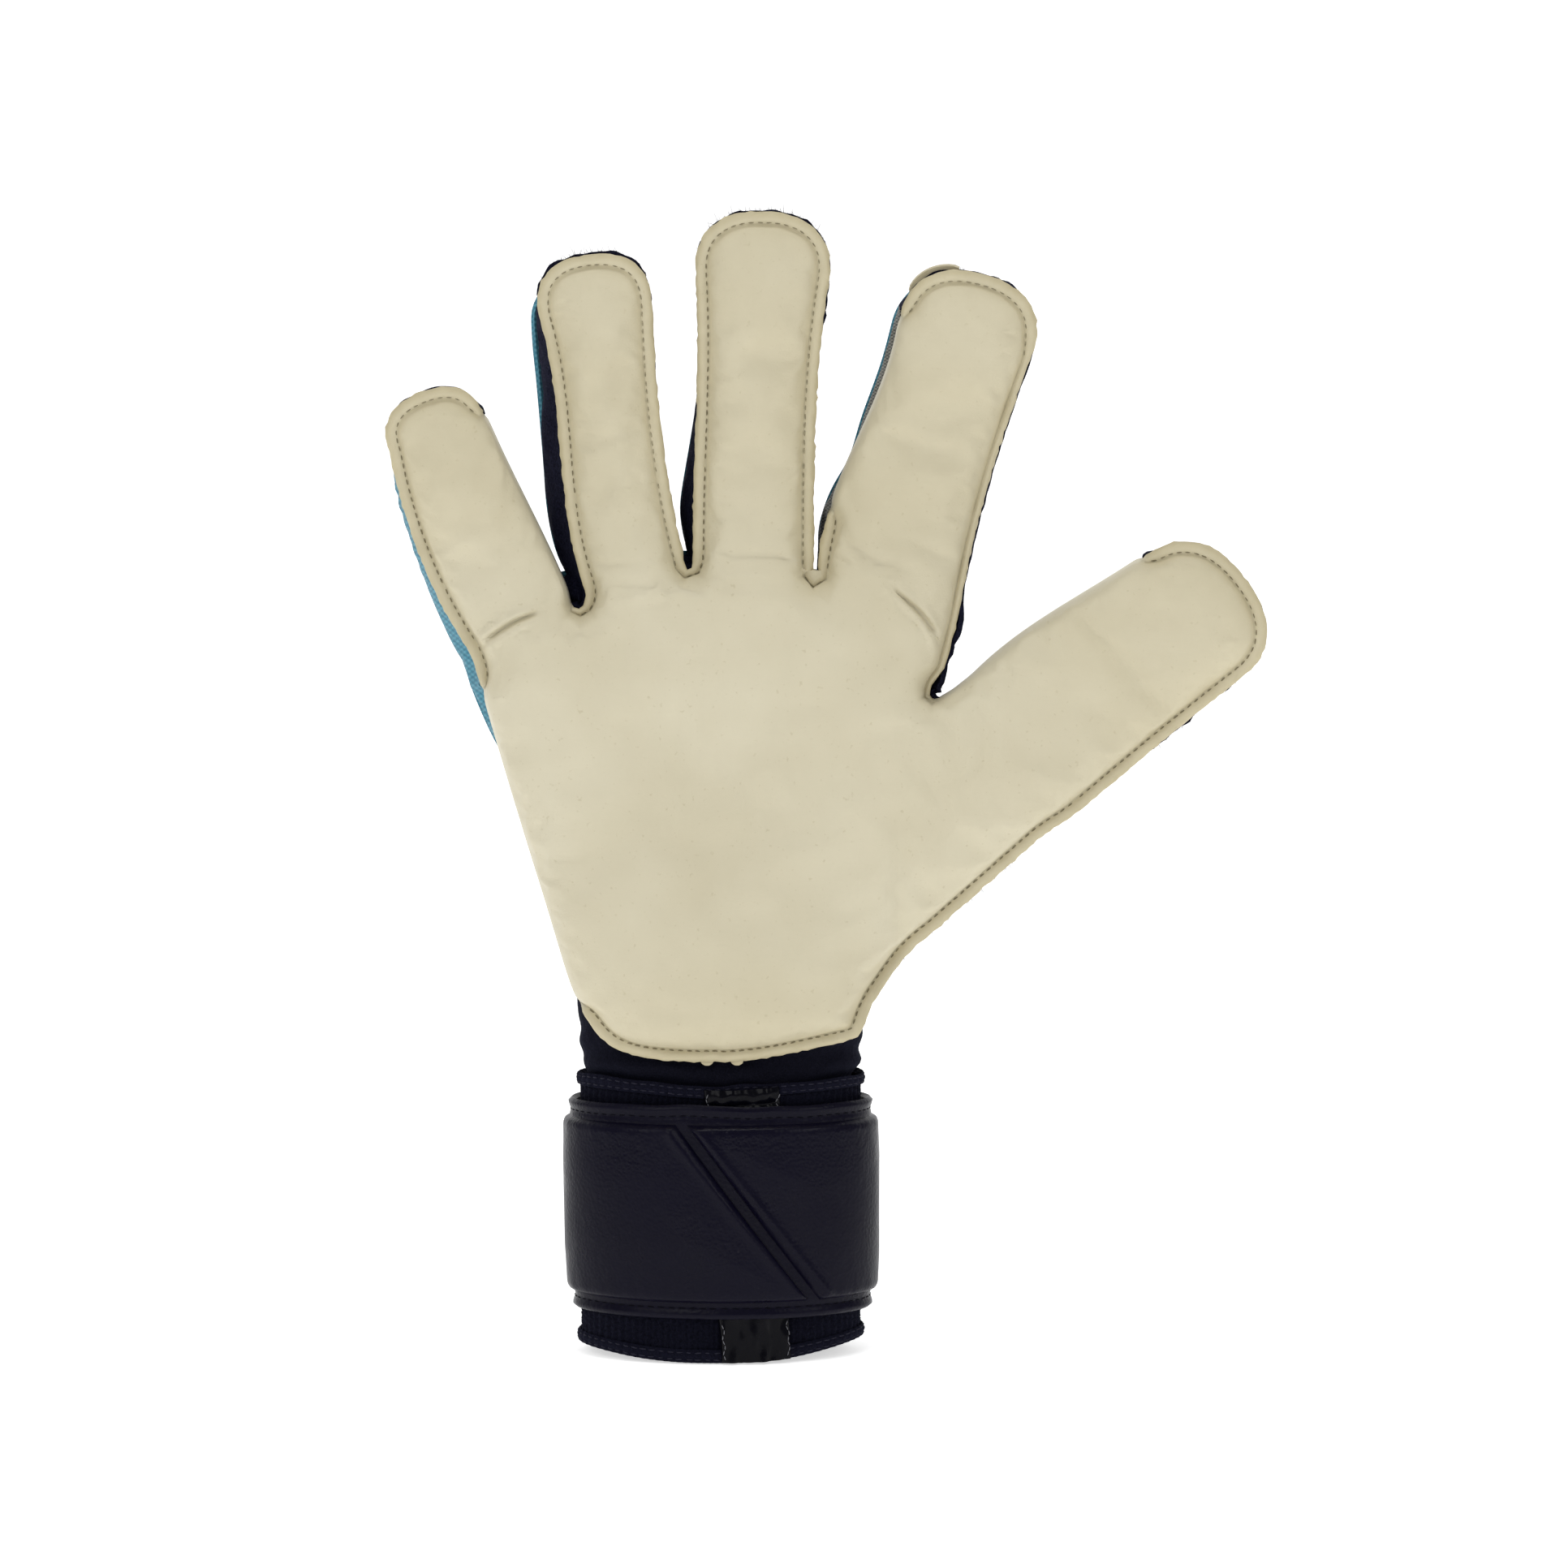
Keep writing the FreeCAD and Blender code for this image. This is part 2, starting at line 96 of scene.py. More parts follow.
def node_points(node):
    """A CAD node's vertices in millimetres."""
    mesh = frame["nodes"][node].data
    co = np.empty(len(mesh.vertices) * 3)
    mesh.vertices.foreach_get("co", co)
    return co.reshape(-1, 3) / MM


def node_crossings(node, axis, value):
    """Where a CAD node's edges cross the plane axis = value: their points in millimetres."""
    mesh = frame["nodes"][node].data
    ends = np.empty(len(mesh.edges) * 2, int)
    mesh.edges.foreach_get("vertices", ends)
    a, b = node_points(node)[ends.reshape(-1, 2)].transpose(1, 0, 2)
    cross = (a[:, axis] - value) * (b[:, axis] - value) < 0
    a, b = a[cross], b[cross]
    f = (value - a[:, axis]) / (b[:, axis] - a[:, axis])
    return a + (b - a) * f[:, None]


def smooth_loop(values, rounds):
    for _ in range(rounds):
        values = (np.roll(values, 1, 0) + 2 * values + np.roll(values, -1, 0)) / 4
    return values


def resample(points, step, closed, *others):
    """The line resampled at an even step, with any values given along it."""
    if closed:
        points = np.vstack([points, points[:1]])
        others = [np.concatenate([o, o[:1]]) for o in others]
    s = length_along(points)
    count = max(2, int(round(s[-1] / step)))
    at = np.linspace(0, s[-1], count + 1)
    if closed:
        at = at[:-1]
    new = np.stack([np.interp(at, s, points[:, k]) for k in range(points.shape[1])], axis=1)
    return (new, *[np.interp(at, s, o) for o in others])


def loop_normals(points):
    """Outward normals of a closed line that runs clockwise, seen with x to the right and z up."""
    d = np.roll(points, -1, 0) - np.roll(points, 1, 0)
    d /= np.linalg.norm(d, axis=1)[:, None]
    return np.stack([-d[:, 1], d[:, 0]], axis=1)


def nearest(points, line):
    """For each point, its distance to the nearest point of a line, and that point's index."""
    distance, index = np.empty(len(points)), np.empty(len(points), int)
    for k in range(0, len(points), 512):
        d = np.linalg.norm(points[k:k + 512, None] - line[None], axis=2)
        index[k:k + 512] = d.argmin(1)
        distance[k:k + 512] = d.min(1)
    return distance, index


def vertex_normals(points, faces):
    """Area-weighted normals of a mesh of triangles and quads."""
    normals = np.zeros_like(points)
    for count in (3, 4):
        group = np.array([f for f in faces if len(f) == count])
        if not len(group):
            continue
        p = points[group]
        if count == 3:
            n = np.cross(p[:, 1] - p[:, 0], p[:, 2] - p[:, 0])
        else:
            n = np.cross(p[:, 2] - p[:, 0], p[:, 3] - p[:, 1])
        for k in range(count):
            np.add.at(normals, group[:, k], n)
    return normals / np.maximum(np.linalg.norm(normals, axis=1), 1e-9)[:, None]


# ---- meshes -------------------------------------------------------------------------------------
def new_piece(name, points, faces, material, normals=None, tint=None):
    """A mesh piece from points in millimetres. normals are per corner, tint is a value per point."""
    mesh = bpy.data.meshes.new(name)
    mesh.from_pydata((np.asarray(points) * MM).tolist(), [], [list(map(int, f)) for f in faces])
    mesh.polygons.foreach_set("use_smooth", [True] * len(mesh.polygons))
    if tint is not None:
        attribute = mesh.attributes.new("tint", "FLOAT", "POINT")
        attribute.data.foreach_set("value", np.asarray(tint, np.float32))
    if normals is not None:
        mesh.normals_split_custom_set(normals.tolist())
    mesh.materials.append(material)
    piece = bpy.data.objects.new(name, mesh)
    bpy.context.scene.collection.objects.link(piece)
    return piece


def rim_edges(faces):
    """The edges that only one face has, each in that face's direction."""
    seen = {}
    for f in faces:
        for a, b in zip(f, np.roll(f, -1)):
            seen[(a, b)] = seen.get((a, b), 0) + 1
    return [(a, b) for a, b in seen if (b, a) not in seen]


def close_up(faces, count):
    """The inner faces of a sheet, whose points come count after the outer ones, and the rim between."""
    inner = [tuple(i + count for i in f) for f in flipped(faces)]
    return inner, [(b, a, a + count, b + count) for a, b in rim_edges(faces)]


def shell(name, points, faces, normals, thickness, material, tint=None):
    """A closed piece: the given outer surface, an inner one at that thickness, and the rim between."""
    faces = [tuple(int(i) for i in f) for f in faces]
    used = sorted({i for f in faces for i in f})
    place = {v: k for k, v in enumerate(used)}
    faces = [tuple(place[i] for i in f) for f in faces]
    outer, n = points[used], normals[used]
    wall = thickness[used] if np.ndim(thickness) else np.full(len(used), thickness)
    inner = outer - n * wall[:, None]
    count = len(used)
    back, rim = close_up(faces, count)
    both = np.vstack([outer, inner])
    corner = [n[i] for f in faces for i in f] + [-n[i - count] for f in back for i in f]
    for f in rim:
        p = both[list(f)]
        face_normal = np.cross(p[2] - p[0], p[3] - p[1])
        face_normal /= max(np.linalg.norm(face_normal), 1e-9)
        corner += [face_normal] * 4
    shades = None if tint is None else np.concatenate([tint[used], tint[used]])
    return new_piece(name, both, faces + back + rim, material, np.array(corner), shades)


def grid_faces(rows, columns, start=0, closed=False):
    """Quads of a grid whose points run row by row. closed joins each row's ends."""
    faces = []
    for r in range(rows - 1):
        for c in range(columns if closed else columns - 1):
            d = (c + 1) % columns
            faces.append((start + r * columns + c, start + r * columns + d,
                          start + (r + 1) * columns + d, start + (r + 1) * columns + c))
    return faces


# ---- materials ----------------------------------------------------------------------------------
def material(name, roughness, **settings):
    """A principled material, its nodes and its shader. Even values go on the shader's own sockets."""
    m = bpy.data.materials.new(name)
    m.use_nodes = True
    shader = m.node_tree.nodes["Principled BSDF"]
    shader.inputs["Roughness"].default_value = roughness
    for key, value in settings.items():
        shader.inputs[key.replace("_", " ")].default_value = value
    return m, m.node_tree, shader


def node(tree, kind, inputs=None, **settings):
    n = tree.nodes.new(kind)
    for key, value in settings.items():
        setattr(n, key, value)
    for key, value in (inputs or {}).items():
        if isinstance(value, bpy.types.NodeSocket):
            tree.links.new(value, n.inputs[key])
        else:
            n.inputs[key].default_value = value
    return n


def position(tree, scale=(1, 1, 1)):
    where = node(tree, "ShaderNodeTexCoord").outputs["Object"]
    return node(tree, "ShaderNodeMapping", {"Vector": where, "Scale": scale}).outputs["Vector"]


def noise(tree, where, scale, detail=2.0, roughness=0.5):
    n = node(tree, "ShaderNodeTexNoise", {"Vector": where, "Scale": scale, "Detail": detail,
                                          "Roughness": roughness})
    return n.outputs["Fac"]


def ramp(tree, value, low, high, start=0.3, end=0.7):
    """A colour ramp from low at start to high at end. A single number is a grey."""
    n = node(tree, "ShaderNodeValToRGB", {"Fac": value})
    for element, at, colour in zip(n.color_ramp.elements, (start, end), (low, high)):
        element.position = at
        element.color = (*(colour if np.ndim(colour) else (colour,) * 3), 1)
    return n.outputs["Color"]


def mix(tree, factor, a, b, blend="MIX"):
    n = node(tree, "ShaderNodeMix", {"Factor": factor}, data_type="RGBA", blend_type=blend)
    for socket, value in (("A", a), ("B", b)):
        target = [s for s in n.inputs if s.name == socket and s.type == "RGBA"][0]
        if isinstance(value, bpy.types.NodeSocket):
            tree.links.new(value, target)
        else:
            target.default_value = (*value, 1)
    return [s for s in n.outputs if s.type == "RGBA"][0]


def arithmetic(tree, operation, a, b=0.0):
    n = node(tree, "ShaderNodeMath", {0: a, 1: b}, operation=operation)
    return n.outputs[0]


def bump(tree, shader, layers):
    """Layers of (height, strength, distance in metres), one on the other, into the shader's normal."""
    normal = None
    for height, strength, distance in layers:
        inputs = {"Height": height, "Strength": strength, "Distance": distance}
        if normal is not None:
            inputs["Normal"] = normal
        normal = node(tree, "ShaderNodeBump", inputs).outputs["Normal"]
    tree.links.new(normal, shader.inputs["Normal"])


def tint_value(tree):
    return node(tree, "ShaderNodeAttribute", attribute_name="tint").outputs["Fac"]


def latex_material():
    """Cream latex foam: a smooth skin with fine pores, a soft mottle and a yellower cut edge, whose colour also
    paints shade where a piece's tint says so.
    """
    m, tree, shader = material("latex_cream", 0.52, Specular_IOR_Level=0.35, Sheen_Weight=0.08,
                               Sheen_Roughness=0.5)
    where = position(tree)
    tone = ramp(tree, noise(tree, where, 22.0, 3.0), (0.588, 0.534, 0.380), (0.668, 0.618, 0.463))
    speck = ramp(tree, noise(tree, where, 900.0, 1.0), 1.0, (0.80, 0.77, 0.68), 0.68, 0.80)
    skin = mix(tree, 0.55, tone, speck, "MULTIPLY")
    # The cut edge's colour, mixed in by the tint: the flange's own colour, and painted shade on the heel, the
    # fingers and beside the stitches.
    edge = mix(tree, noise(tree, where, 260.0, 3.0), (0.46, 0.395, 0.235), (0.57, 0.505, 0.330))
    tree.links.new(mix(tree, tint_value(tree), skin, edge), shader.inputs["Base Color"])
    tree.links.new(ramp(tree, noise(tree, where, 60.0, 2.0), 0.46, 0.60), shader.inputs["Roughness"])
    pores = node(tree, "ShaderNodeTexVoronoi", {"Vector": where, "Scale": 1500.0}).outputs["Distance"]
    fine = noise(tree, where, 2600.0, 2.0)
    stretch = noise(tree, position(tree, (1.0, 1.0, 6.0)), 120.0, 4.0, 0.6)
    bump(tree, shader, [(pores, 0.10, 0.0002), (fine, 0.12, 0.0002), (stretch, 0.10, 0.0006)])
    return m


def fleece_material(name, dark, light, scale=1500.0, strength=0.6):
    """A brushed navy fabric: a matt pile with a faint sheen and fine tufts."""
    m, tree, shader = material(name, 0.95, Specular_IOR_Level=0.06, Sheen_Weight=0.04, Sheen_Roughness=0.6,
                               Sheen_Tint=(0.35, 0.4, 0.75, 1))
    where = position(tree)
    tuft = noise(tree, where, scale, 3.0, 0.7)
    tree.links.new(ramp(tree, tuft, dark, light, 0.35, 0.75), shader.inputs["Base Color"])
    clump = noise(tree, where, scale / 5, 2.0)
    bump(tree, shader, [(tuft, strength, 0.0006), (clump, 0.4, 0.0010)])
    return m


def knit_material(name, dark, light, pitch):
    """A fine knitted face: rows of small loops, crossed by columns."""
    m, tree, shader = material(name, 0.8, Specular_IOR_Level=0.25, Sheen_Weight=0.2, Sheen_Roughness=0.4)
    where = position(tree)
    split = node(tree, "ShaderNodeSeparateXYZ", {"Vector": where})
    across = arithmetic(tree, "SINE", arithmetic(tree, "MULTIPLY", split.outputs["X"], pitch * 3.8))
    along = arithmetic(tree, "SINE", arithmetic(tree, "MULTIPLY", split.outputs["Z"], pitch * 5.2))
    loops = arithmetic(tree, "MULTIPLY", across, along)
    half = arithmetic(tree, "MULTIPLY", loops, 0.5)
    height = arithmetic(tree, "ADD", half, noise(tree, where, 1800.0, 2.0))
    colour = ramp(tree, height, dark, light, 0.2, 0.9)
    mottle = ramp(tree, noise(tree, where, 35.0, 2.0), 0.88, 1.0)
    tree.links.new(mix(tree, 1.0, colour, mottle, "MULTIPLY"), shader.inputs["Base Color"])
    bump(tree, shader, [(height, 0.35, 0.0004)])
    return m


def leather_material(name, colour, light, roughness, grain=1300.0, strength=0.35, level=0.45):
    """Grained synthetic leather, lighter and smoother where it is rubbed."""
    m, tree, shader = material(name, roughness, Specular_IOR_Level=level)
    where = position(tree)
    cell = node(tree, "ShaderNodeTexVoronoi", {"Vector": where, "Scale": grain}, feature="SMOOTH_F1")
    worn = noise(tree, where, 45.0, 4.0, 0.6)
    tree.links.new(mix(tree, worn, colour, light), shader.inputs["Base Color"])
    spread = ramp(tree, noise(tree, where, 90.0, 3.0), roughness - 0.07, roughness + 0.1)
    tree.links.new(spread, shader.inputs["Roughness"])
    pucker = noise(tree, where, 300.0, 3.0)
    bump(tree, shader, [(cell.outputs["Distance"], strength, 0.0004), (pucker, 0.12, 0.0008)])
    return m


def thread_material(name, colour, roughness=0.6, level=0.3, pale=None):
    """Twisted sewing thread. Where a piece's tint is 1 its colour is pale."""
    m, tree, shader = material(name, roughness, Specular_IOR_Level=level)
    where = position(tree)
    twist = noise(tree, where, 2500.0, 1.0)
    tone = mix(tree, tint_value(tree), colour, pale or colour)
    shaded = mix(tree, 1.0, tone, ramp(tree, twist, 0.62, 1.0), "MULTIPLY")
    tree.links.new(shaded, shader.inputs["Base Color"])
    bump(tree, shader, [(twist, 0.4, 0.0002)])
    return m


MATERIALS = {
    "latex": latex_material(),
    "gusset": fleece_material("gusset_navy", (0.003, 0.003, 0.008), (0.016, 0.016, 0.036)),
    "mesh": knit_material("gusset_taupe", (0.05, 0.048, 0.04), (0.28, 0.27, 0.22), 1500.0),
    "blue": knit_material("backhand_blue", (0.045, 0.19, 0.27), (0.10, 0.33, 0.43), 900.0),
    "foam": fleece_material("foam_white", (0.42, 0.42, 0.40), (0.6, 0.6, 0.57), 700.0, 0.3),
    "navy_pad": leather_material("knuckle_navy", (0.007, 0.008, 0.02), (0.012, 0.013, 0.03), 0.5),
    "strap": leather_material("strap_navy", (0.0026, 0.0022, 0.0075), (0.0043, 0.0037, 0.0118), 0.30,
                              strength=0.20, level=0.09),
    "strip": leather_material("strip_gloss", (0.0010, 0.0010, 0.0022), (0.0018, 0.0018, 0.004), 0.20,
                              700.0, 0.10, 0.09),
    "sleeve": fleece_material("sleeve_navy", (0.002, 0.002, 0.0045), (0.006, 0.006, 0.012), 2200.0, 0.35),
    "cuff": fleece_material("cuff_navy", (0.0018, 0.0018, 0.004), (0.0055, 0.0055, 0.013), 1800.0, 0.5),
    "binding": fleece_material("binding_navy", (0.0025, 0.0025, 0.006), (0.008, 0.008, 0.018), 2600.0, 0.4),
    "thread_olive": thread_material("thread_olive", (0.235, 0.200, 0.115), pale=(0.43, 0.385, 0.255)),
    "thread_navy": thread_material("thread_navy", (0.0030, 0.0030, 0.0075), 0.8, 0.08),
    "thread_cuff": thread_material("thread_cuff", (0.018, 0.018, 0.034), 0.7, 0.2),
    "thread_pale": thread_material("thread_pale", (0.16, 0.16, 0.18), 0.6),
    "hook": leather_material("hook_nylon", (0.008, 0.008, 0.012), (0.012, 0.012, 0.016), 0.55, 1100.0, 0.8),
    "loop": fleece_material("loop_pile", (0.004, 0.004, 0.010), (0.015, 0.015, 0.03), 2400.0, 0.9),
    "tab": leather_material("tab_blue", (0.045, 0.20, 0.29), (0.09, 0.30, 0.41), 0.45, 1500.0, 0.2),
}

# ---- the fingers' centre lines ------------------------------------------------------------------
BASE_PITCH, CURL = math.radians(4.0), math.radians(10.0)   # lean at the knuckle and past the middle joint
CURVE_ALLOWANCE = 4.0       # length that the forward curve takes off a finger, seen from the front
HINGE_DEPTH = -3.5          # y of the fingers' joints
SIDES_END = 0.84            # share of a finger's length at which its sides end and its tip's curve starts
TIP_DEPTH = 0.86            # depth of the tip's curve, as a share of the finger's half width
LEAN_START, LEAN_LENGTH = 10.0, 14.0    # where a finger starts to lean, and over what length
CURL_BACK, CURL_LENGTH = 13.0, 26.0     # where it starts to curl before its middle joint, and over what length
SPLIT_BACK = 12.0           # where the outer half's mesh begins, before the middle joint
TIP_BLEND = 26.0            # a length along a finger's outer half, from where its mesh begins
TIP_SQUARENESS = 2.35       # exponent of the rounded fingertip, 2 being an ellipse
KNOTS = (0.0, 0.25, 0.5, 0.8)   # shares of a finger's length at which its side reaches are given

# Each finger's reach from its centre line, on the little-finger side and the thumb side, at the KNOTS, and
# where each side starts along the finger.
SHAPES = {
    "little": dict(left=(14.4, 16.6, 16.6, 14.0), right=(12.9, 12.6, 11.6, 10.9), start=(-4.0, 3.0)),
    "ring": dict(left=(11.4, 14.5, 14.1, 14.8), right=(13.8, 11.2, 10.6, 11.8), start=(2.0, 9.0)),
    "middle": dict(left=(15.3, 15.8, 15.6, 16.3), right=(13.8, 13.3, 13.3, 15.2), start=(6.0, 4.0)),
    "index": dict(left=(18.4, 19.4, 16.2, 14.8), right=(17.0, 15.9, 16.1, 17.8), start=(5.0, -13.0)),
    "thumb": dict(left=(21.1, 21.7, 20.2, 18.7), right=(20.6, 19.9, 19.3, 18.7), start=(-6.0, -2.0)),
}


class Finger:
    """A finger's centre line in the flat, from its two joints, and the curve that it is bent to."""

    def __init__(self, name, left, right, start):
        first, second = ("base", "tip") if name == "thumb" else ("knuckle", "middle")
        root, middle = (np.array(JOINTS[f"{name}_{j}_flex"]["pos_m"]) / MM for j in (first, second))
        self.name, self.start = name, start
        self.base_body, self.tip_body = f"{name}_base", f"{name}_tip"
        self.root = root[[0, 2]]
        along = middle[[0, 2]] - self.root
        self.inner = np.linalg.norm(along) / math.cos(BASE_PITCH)
        self.along = along / np.linalg.norm(along)
        self.across = np.array([self.along[1], -self.along[0]])
        tip = node_points(f"{name}_tip_latex")[:, [0, 2]] - self.root
        self.length = (tip @ self.along).max() + CURVE_ALLOWANCE
        knots = np.array(KNOTS) * self.length
        self.reach = {-1: np.polyfit(knots, left, 3), 1: np.polyfit(knots, right, 3)}
        self.split = self.inner - SPLIT_BACK
        t = np.linspace(-40, self.length + 20, 600)
        pitch = self.pitch(t)
        step = t[1] - t[0]
        self.table = t, np.cumsum(np.cos(pitch)) * step, np.cumsum(np.sin(pitch)) * step
        self.table[1][:] -= np.interp(0, t, self.table[1])

    def pitch(self, t):
        return (BASE_PITCH * smoothstep((t - LEAN_START) / LEAN_LENGTH)
                + CURL * smoothstep((t - self.inner + CURL_BACK) / CURL_LENGTH))

    def at(self, u, t):
        """The flat point at u across and t along."""
        return self.root + np.multiply.outer(u, self.across) + np.multiply.outer(t, self.along)

    def local(self, points):
        """(u, t) of flat points."""
        p = points - self.root
        return p @ self.across, p @ self.along

    def side(self, s, t):
        return s * np.polyval(self.reach[s], np.clip(t, 0, SIDES_END * self.length))

    def outline(self):
        """Flat points up the left side, round the tip and down the right side, and each one's (side, t)."""
        end = self.length * SIDES_END
        bend = TIP_DEPTH * (self.side(1, end) - self.side(-1, end)) / 2
        top = self.length - bend
        rise = np.arange(self.start[0], top, 1.0)
        fall = np.arange(self.start[1], top, 1.0)[::-1]
        left, right = self.side(-1, top), self.side(1, top)
        middle, half = (left + right) / 2, (right - left) / 2
        turn = np.linspace(math.pi, 0, 60)
        power = 2 / TIP_SQUARENESS
        u = middle + half * np.sign(np.cos(turn)) * np.abs(np.cos(turn)) ** power
        t = top + bend * np.sin(turn) ** power
        rows = [(float(self.side(-1, q)), q, -1) for q in rise]
        rows += [(a, b, 0) for a, b in zip(u, t)]
        rows += [(float(self.side(1, q)), q, 1) for q in fall]
        points = self.at(*np.array([(a, b) for a, b, _ in rows]).T)
        return points, [(s, q) for _, q, s in rows]

    def curve(self, points):
        """Points (x, y, z) of the flat glove moved to where the finger's forward curve takes them."""
        u, t = self.local(points[:, [0, 2]])
        grid, along, forward = self.table
        pitch = self.pitch(t)
        depth = points[:, 1] - HINGE_DEPTH
        t2 = np.interp(t, grid, along) + depth * np.sin(pitch)
        moved = self.at(u, t2)
        y = HINGE_DEPTH - np.interp(t, grid, forward) + np.interp(0, grid, forward) + depth * np.cos(pitch)
        return at_depth(moved, y)


FINGERS = {name: Finger(name, **shape) for name, shape in SHAPES.items()}
ORDER = ("little", "ring", "middle", "index", "thumb")

# ---- the flat outline ---------------------------------------------------------------------------
INDEX_FLANGE = 0.62         # share of the flange's width on the index finger's thumb side, where it folds back
FLANGE = 3.0                # seam allowance outside the stitch line
OUTLINE_STEP = 1.25
PALM_LEFT = (85.0, 164.0)   # heights between which the palm's left side is rolled, with no flange
WRIST_CORNERS = (-28.0, 33.0)
CROTCH_FLANGE = 0.65        # share of the flange's width at the bottom of a crotch
CROTCH_HALF = np.array([0.9, 0.0])     # half the width of a crotch's rounded bottom
CROTCH_DROP = 3.4           # how far a crotch lies below the ends of the two sides that meet in it
CROTCH_BACK = 2             # how many outline points past its own a finger's mesh begins, in a crotch
# The latex edge between the index finger and the thumb, from the thumb's root joint to the web's lowest point.
WEB_EDGE = np.array([(-22.9, 15.0), (-23.5, 12.6), (-23.8, 10.6)])
# Where the mesh of a finger at the hand's side begins along it, on its left and on its right.
ROOT_AT = {"little": (1.0, None), "index": (None, -6.0), "thumb": (-1.0, 0.0)}


def palm_left_edge():
    heights = np.arange(84.0, PALM_LEFT[1] + 4, 2.0)
    return np.array([[node_crossings("palm_latex", 2, z)[:, 0].min(), z] for z in heights])


def palm_lower_edge():
    """From the thumb's lower side round the heel to the palm's left corner."""
    thumb = FINGERS["thumb"]
    right = thumb.at(thumb.side(1, 0.0), -9.0)[0]
    xs = np.arange(WRIST_CORNERS[0], right, 2.0)[::-1]
    edge = np.array([[x, node_crossings("palm_latex", 0, x)[:, 2].min()] for x in xs])
    low = smoothstep((92 - edge[:, 1]) / 10)
    edge[:, 1] += low * (1.2 + 1.3 * smoothstep(edge[:, 0] / 30))
    return edge


def is_rolled(name, side, t, finger):
    """Whether the latex rolls over the side here, so that no flange shows."""
    if name == "little":
        return side == 1 and t < 0.93 * finger.length
    if name == "index":
        return side == -1 and t > 17
    return name == "thumb" and side == -1 and t < 0.83 * finger.length


def glove_outline():
    """The glove's flat outline, clockwise from the heel's left corner. Gives each point's place, flange width,
    finger number (-1 on the palm), side and distance along the finger."""
    points, width, owner, sides, along = [], [], [], [], []

    def add(pts, wide, who, where):
        points.extend(pts)
        width.extend(wide)
        owner.extend([who] * len(pts))
        sides.extend([s for s, _ in where])
        along.extend([t for _, t in where])

    left = palm_left_edge()
    rolled = (left[:, 1] > PALM_LEFT[0]) & (left[:, 1] < PALM_LEFT[1])
    add(left, np.where(rolled, 0.0, FLANGE), -1, [(0, 0)] * len(left))
    for k, name in enumerate(ORDER):
        finger = FINGERS[name]
        pts, where = finger.outline()
        narrow = INDEX_FLANGE if name == "index" else 1.0
        wide = [0.0 if is_rolled(name, s, t, finger) else FLANGE * (narrow if s == 1 else 1.0)
                for s, t in where]
        add(pts, wide, k, where)
        if name == "index":
            count = len(WEB_EDGE)
            add(FINGERS["thumb"].root + WEB_EDGE, [FLANGE * 0.5] * count, -1, [(0, 0)] * count)
        elif name != "thumb":
            after = FINGERS[ORDER[k + 1]].outline()[0][0]
            bottom = (pts[-1] + after) / 2 - np.array([0, CROTCH_DROP])
            add([bottom - CROTCH_HALF, bottom + CROTCH_HALF], [FLANGE * CROTCH_FLANGE] * 2, -1,
                [(0, 0)] * 2)
    lower = palm_lower_edge()
    add(lower, [FLANGE] * len(lower), -1, [(0, 0)] * len(lower))
    points = np.array(points)
    fine, width = resample(points, 0.25, True, np.array(width))
    fine = smooth_loop(fine, 45)
    corner = smoothstep((98 - fine[:, 1]) / 8)[:, None] * (fine[:, :1] < 0)
    fine = fine + (smooth_loop(fine, 1500) - fine) * corner
    width = smooth_loop(width, 120)
    loop, width = resample(fine, OUTLINE_STEP, True, width)
    index = nearest(loop, points)[1]
    return loop, width, np.array(owner)[index], np.array(sides)[index], np.array(along)[index]


OUTLINE, WIDTH, OWNER, SIDE, ALONG = glove_outline()
NORMAL = loop_normals(OUTLINE)
SEAM = OUTLINE - NORMAL * WIDTH[:, None]       # the stitch line, or the roll's edge


def outline_index(point):
    return int(np.linalg.norm(OUTLINE - point, axis=1).argmin())


def root_ends(k):
    """The outline indices where finger k's own mesh begins, on its left and on its right."""
    finger = FINGERS[ORDER[k]]
    mine = np.flatnonzero(OWNER == k)
    ends = []
    for side, end, along in zip((-1, 1), (mine[0] - CROTCH_BACK, mine[-1] + CROTCH_BACK),
                                ROOT_AT.get(ORDER[k], (None, None))):
        ends.append(end if along is None else outline_index(finger.at(finger.side(side, 0.0), along)))
    return tuple(ends)


ROOTS = [root_ends(k) for k in range(5)]
for k in range(3):          # neighbours share the crotch point between them
    shared = (ROOTS[k][1] + ROOTS[k + 1][0]) // 2
    ROOTS[k], ROOTS[k + 1] = (ROOTS[k][0], shared), (shared, ROOTS[k + 1][1])


def split_ends(k):
    """The outline indices where finger k's outer half begins, on its left and on its right."""
    finger = FINGERS[ORDER[k]]
    return tuple(outline_index(finger.at(finger.side(s, finger.split), finger.split)) for s in (-1, 1))


SPLITS = [split_ends(k) for k in range(5)]


def section_of(index):
    """The section that an outline index lies in: 0 for the palm, 1 + 2k for finger k's inner half
    and 2 + 2k for its outer half."""
    for k in range(5):
        if SPLITS[k][0] <= index < SPLITS[k][1]:
            return 2 + 2 * k
        if ROOTS[k][0] <= index < ROOTS[k][1]:
            return 1 + 2 * k
    return 0


SECTION = np.array([section_of(i) for i in range(len(OUTLINE))])
SECTION_NAMES = ["palm"] + [f"{n}_{part}" for n in ORDER for part in ("base", "tip")]


def on_finger(sections, k):
    return (sections == 1 + 2 * k) | (sections == 2 + 2 * k)


def bend_to_curve(points, sections):
    """Moves each point of a finger's section to the finger's forward curve."""
    moved = points.copy()
    for k, name in enumerate(ORDER):
        mine = on_finger(sections, k)
        if mine.any():
            moved[mine] = FINGERS[name].curve(points[mine])
    return moved


